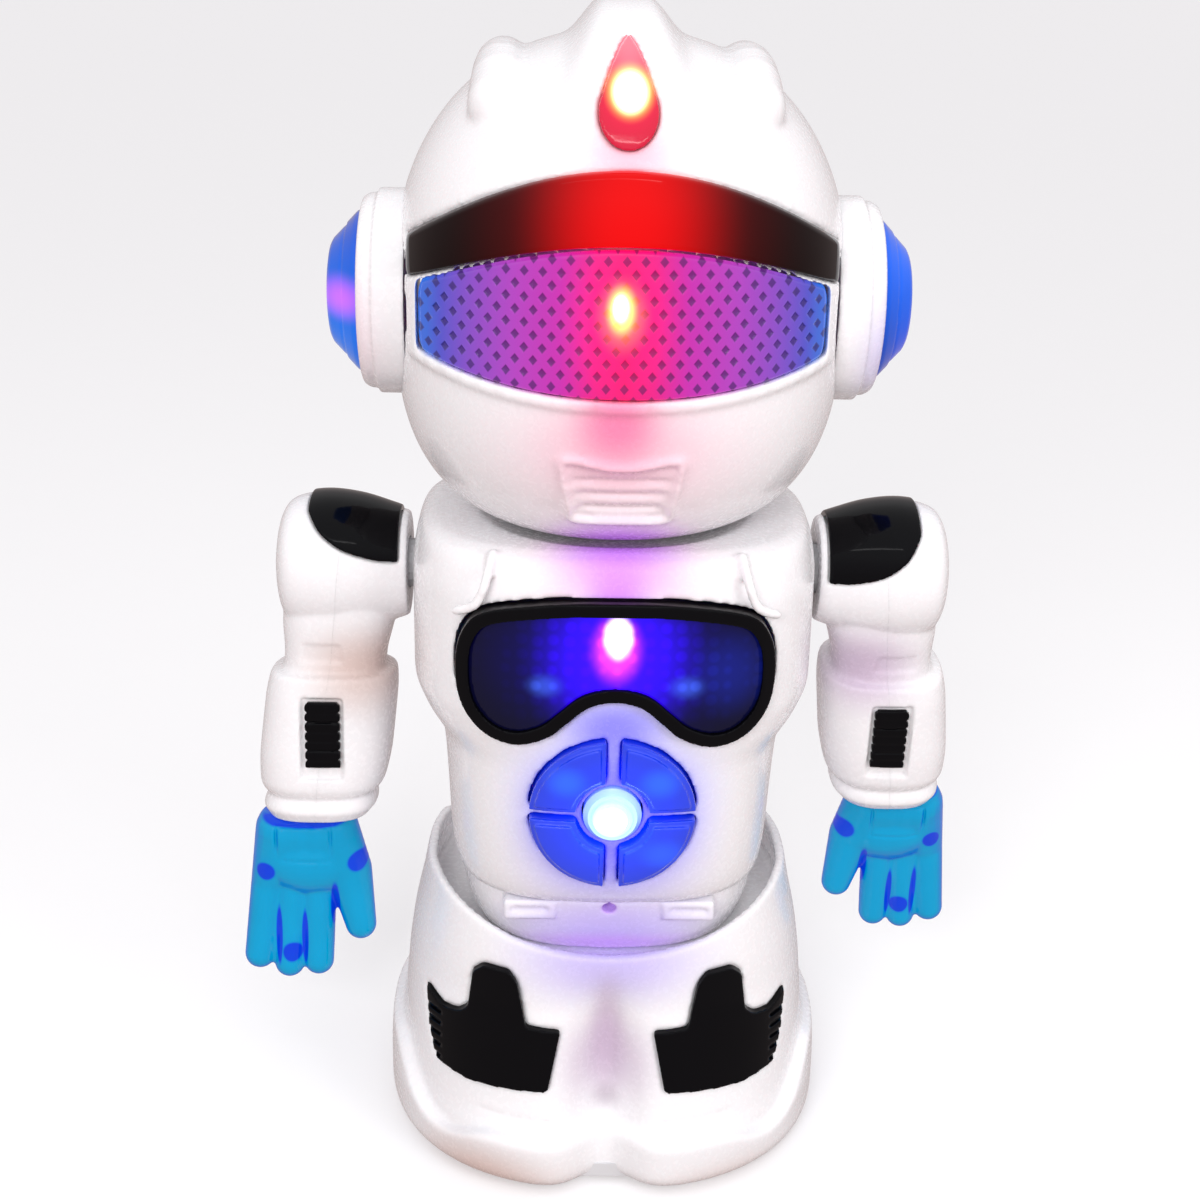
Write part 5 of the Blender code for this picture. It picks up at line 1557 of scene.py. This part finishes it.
def hand(side, sign, material):
    """Hand with a plate line on its back and a stub that holds it in the cuff, split in two halves."""
    swing = arm_swing(side)
    centre = hand_centre()
    form = hand_form(sign)
    cut(form, box("above", (-FAR, -FAR, WRIST_Z - GAP), (FAR, FAR, FAR)))
    wrist_x = sign * arm_centre(WRIST_Z)
    rim = WRIST_Z + WALL + GAP + 0.6
    foot = WRIST_Z - 3
    stub = [(0, foot), (6.0, foot), (6.0, rim), (7.6, rim), (7.6, rim + 2.0), (0, rim + 2.0)]
    fuse(form, lathe("stub", stub, "Z", (wrist_x, 0, 0)))
    plate_x = sorted((sign * (centre - 5.4), sign * (centre + 6.0)))
    frame_line = rectangle(*plate_x, WRIST_Z - 10.2, WRIST_Z - 2.6)
    groove = prism("plate line", grown(frame_line, 0.4), "Y", -FAR, -5.4)
    cut(groove, prism("plate", grown(frame_line, -0.35), "Y", -FAR, FAR))
    cut(form, groove)
    soften(form, 0.33, 2)
    nodes = (side + "_hand_front", side + "_hand_rear")
    finish_halves(form, nodes, side + "_arm", material, swing)


def hand_material(side, sign):
    """Clear cyan-blue plastic with a faint painted glow, royal blue pins that join the halves, and painted
    royal-blue shade along its edges, in its folds and under the cuff.
    """
    material, tree, shader, place, base = plastic(
        "hand_blue_" + side, (0.0, 0.36, 0.66), 0.06, grain=0.35, Transmission_Weight=0.2,
        Specular_IOR_Level=0.3,
    )
    pivot, angle = arm_swing(side)
    centre = hand_centre()
    turn = Matrix.Rotation(angle, 4, "X")
    mask = 0.0
    for x, z, half_wide, half_long in SHADES:
        spot = Vector((sign * (centre + x) - pivot.x, 0, WRIST_Z + z - pivot.z))
        spot = pivot + turn @ spot
        fall = nearness(tree, place, spot, (half_wide, 40, half_long))
        mask = math_node(tree, "MAXIMUM", mask, remap(tree, fall, (0.02, 0.20)))
    # The outline, where the plastic is seen edge-on, is painted deeper blue as shade.
    facing = node_of(tree, "ShaderNodeLayerWeight", Blend=0.42)
    edge = remap(tree, facing.outputs["Facing"], (0.30, 0.85), (0.0, 0.8))
    mask = math_node(tree, "MAXIMUM", mask, edge)
    colour = mix_colour(tree, mask, base, (0.0, 0.05, 0.62))
    tree.links.new(colour, shader.inputs["Base Color"])
    # Painted glow: a faint emission stands for light scattered inside the clear plastic, deeper blue in the
    # painted shade.
    inner = mix_colour(tree, mask, (0.0, 0.10, 0.16), (0.0, 0.01, 0.20))
    tree.links.new(inner, shader.inputs["Emission Color"])
    shader.inputs["Emission Strength"].default_value = 0.8
    return material


# ---------------------------------------------------------------- carried-over CAD nodes


def dress_frame_nodes(white, black):
    """Better materials for the pieces that keep their CAD shape."""
    dark = plastic("black_satin", (0.02, 0.02, 0.023), 0.38, grain=0.3, bump=0.06)[0]
    grey = plastic("grey_satin", (0.70, 0.70, 0.72), 0.42, grain=0.12, bump=0.05)[0]
    rubber = plastic("rubber_tread", (0.02, 0.02, 0.02), 0.75, grain=0.3, bump=0.2)[0]
    board = plastic("circuit_green", (0.012, 0.14, 0.045), 0.35, grain=0.35, bump=0.1)[0]
    steel = plastic("plated_steel", (0.60, 0.60, 0.62), 0.26, grain=0.1, bump=0.05, Metallic=1.0)[0]
    mirror = plastic("reflector", (0.80, 0.80, 0.83), 0.16, grain=0.05, bump=0.08, Metallic=1.0)[0]
    cell = plastic("cell_wrap", (0.06, 0.07, 0.09), 0.26, grain=0.2, bump=0.03, coat=0.4)[0]
    by_slot = {
        "grey_plastic": grey,
        "black_plastic": dark,
        "rubber": rubber,
        "circuit_green": board,
        "steel": steel,
        "reflector": mirror,
        "cell": cell,
        "white_shell": white,
        "black_gloss": black,
    }
    slots = {row["node"]: row["material_slot"] for row in frame["record"]["subparts"]}
    for node, obj in frame["nodes"].items():
        if obj.hide_render:
            continue
        obj.data.materials.clear()
        obj.data.materials.append(by_slot[slots[node]])


# ---------------------------------------------------------------- studio


def studio():
    """Pale floor, a sky that is brightest overhead, and soft lamps."""
    reach = 100 * FAR
    floor = box("floor", (-reach, -reach, -3.0), (reach, reach, 0.0))
    floor.data.transform(Matrix.Scale(MM, 4))
    material, _, shader, *_ = plastic("floor_white", (0.82, 0.82, 0.83), 0.7, grain=0.01, bump=0.0)
    shader.inputs["Emission Color"].default_value = (1.0, 0.99, 1.0, 1.0)
    shader.inputs["Emission Strength"].default_value = 0.17
    floor.data.materials.append(material)
    floor.visible_diffuse = False
    floor.visible_glossy = False
    world = bpy.data.worlds.new("studio")
    world.use_nodes = True
    tree = world.node_tree
    coords = tree.nodes.new("ShaderNodeTexCoord")
    split = tree.nodes.new("ShaderNodeSeparateXYZ")
    tree.links.new(coords.outputs["Generated"], split.inputs[0])
    sky = colour_ramp(
        tree, split.outputs["Z"],
        [
            (0.0, (0.50, 0.43, 0.42)), (0.40, (0.66, 0.62, 0.63)), (0.60, (0.88, 0.87, 0.88)),
            (1.0, (0.93, 0.93, 0.94)),
        ],
    )
    tree.links.new(sky, tree.nodes["Background"].inputs["Color"])
    tree.nodes["Background"].inputs["Strength"].default_value = 1.0
    bpy.context.scene.world = world
    area_light("key", (-160, -640, 420), (300, 200), 2.6)
    area_light("fill", (460, -420, 300), (300, 200), 1.2)
    area_light("glint", (-60, -420, 640), (420, 14), 0.12, mirrored_in_gloss=True)


def area_light(name, place, size, power, mirrored_in_gloss=False):
    """Soft lamp turned to the robot's middle; place and size in millimetres."""
    lamp = bpy.data.lights.new(name, "AREA")
    lamp.shape = "RECTANGLE"
    lamp.size = size[0] * MM
    lamp.size_y = size[1] * MM
    lamp.energy = power
    obj = bpy.data.objects.new(name, lamp)
    bpy.context.scene.collection.objects.link(obj)
    obj.visible_glossy = mirrored_in_gloss
    obj.location = Vector(place) * MM
    target = Vector((0, 0, 120)) * MM
    obj.rotation_euler = (target - obj.location).to_track_quat("-Z", "Y").to_euler()


CAMERA_BACK = 350.0  # distance in front of the robot's axis
CAMERA_UP = 249.0
CAMERA_TILT = 21.0
CAMERA_YAW = 1.2
CAMERA_ROLL = 1.2
CAMERA_LENS = 53.7


def camera():
    """Close, looking down on the robot from a little to its right."""
    lens = bpy.data.cameras.new("camera")
    lens.lens = CAMERA_LENS
    lens.clip_start = 0.01
    eye = bpy.data.objects.new("camera", lens)
    bpy.context.scene.collection.objects.link(eye)
    yaw = math.radians(CAMERA_YAW)
    eye.location = Vector((-2.5 - CAMERA_BACK * math.tan(yaw), -CAMERA_BACK, CAMERA_UP)) * MM
    turn = Matrix.Rotation(-yaw, 4, "Z")
    turn = turn @ Matrix.Rotation(math.radians(90 - CAMERA_TILT), 4, "X")
    turn = turn @ Matrix.Rotation(math.radians(CAMERA_ROLL), 4, "Z")
    eye.rotation_euler = turn.to_euler()
    bpy.context.scene.camera = eye


# ---------------------------------------------------------------- build


def build():
    """Everything, part by part."""
    black = black_gloss()
    legs()
    knee_patches(black)
    belt()
    torso()
    chest(black)
    emblem()
    head()
    visor()
    crest_lamp()
    ears()
    # Painted shade under the shoulder barrels, beige on the right arm and mauve on the left one.
    painted_shade_under_barrel = [
        (BEIGE_SHADE, 0.95, (-52, -8, SHOULDER_Z - 19), (18, 26, 15)),
        (MAUVE_SHADE, 0.85, (52, -8, SHOULDER_Z - 19), (18, 26, 15)),
    ]
    arm_white = white_shell("white_arms", painted_shade_under_barrel)
    for side, sign in SIDES.items():
        arm_shell(side, sign, arm_white)
        arm_patches(side, sign, black)
        hand(side, sign, hand_material(side, sign))
    dress_frame_nodes(arm_white, black)
    studio()
    camera()
    bpy.context.scene.view_settings.view_transform = "Standard"


build()
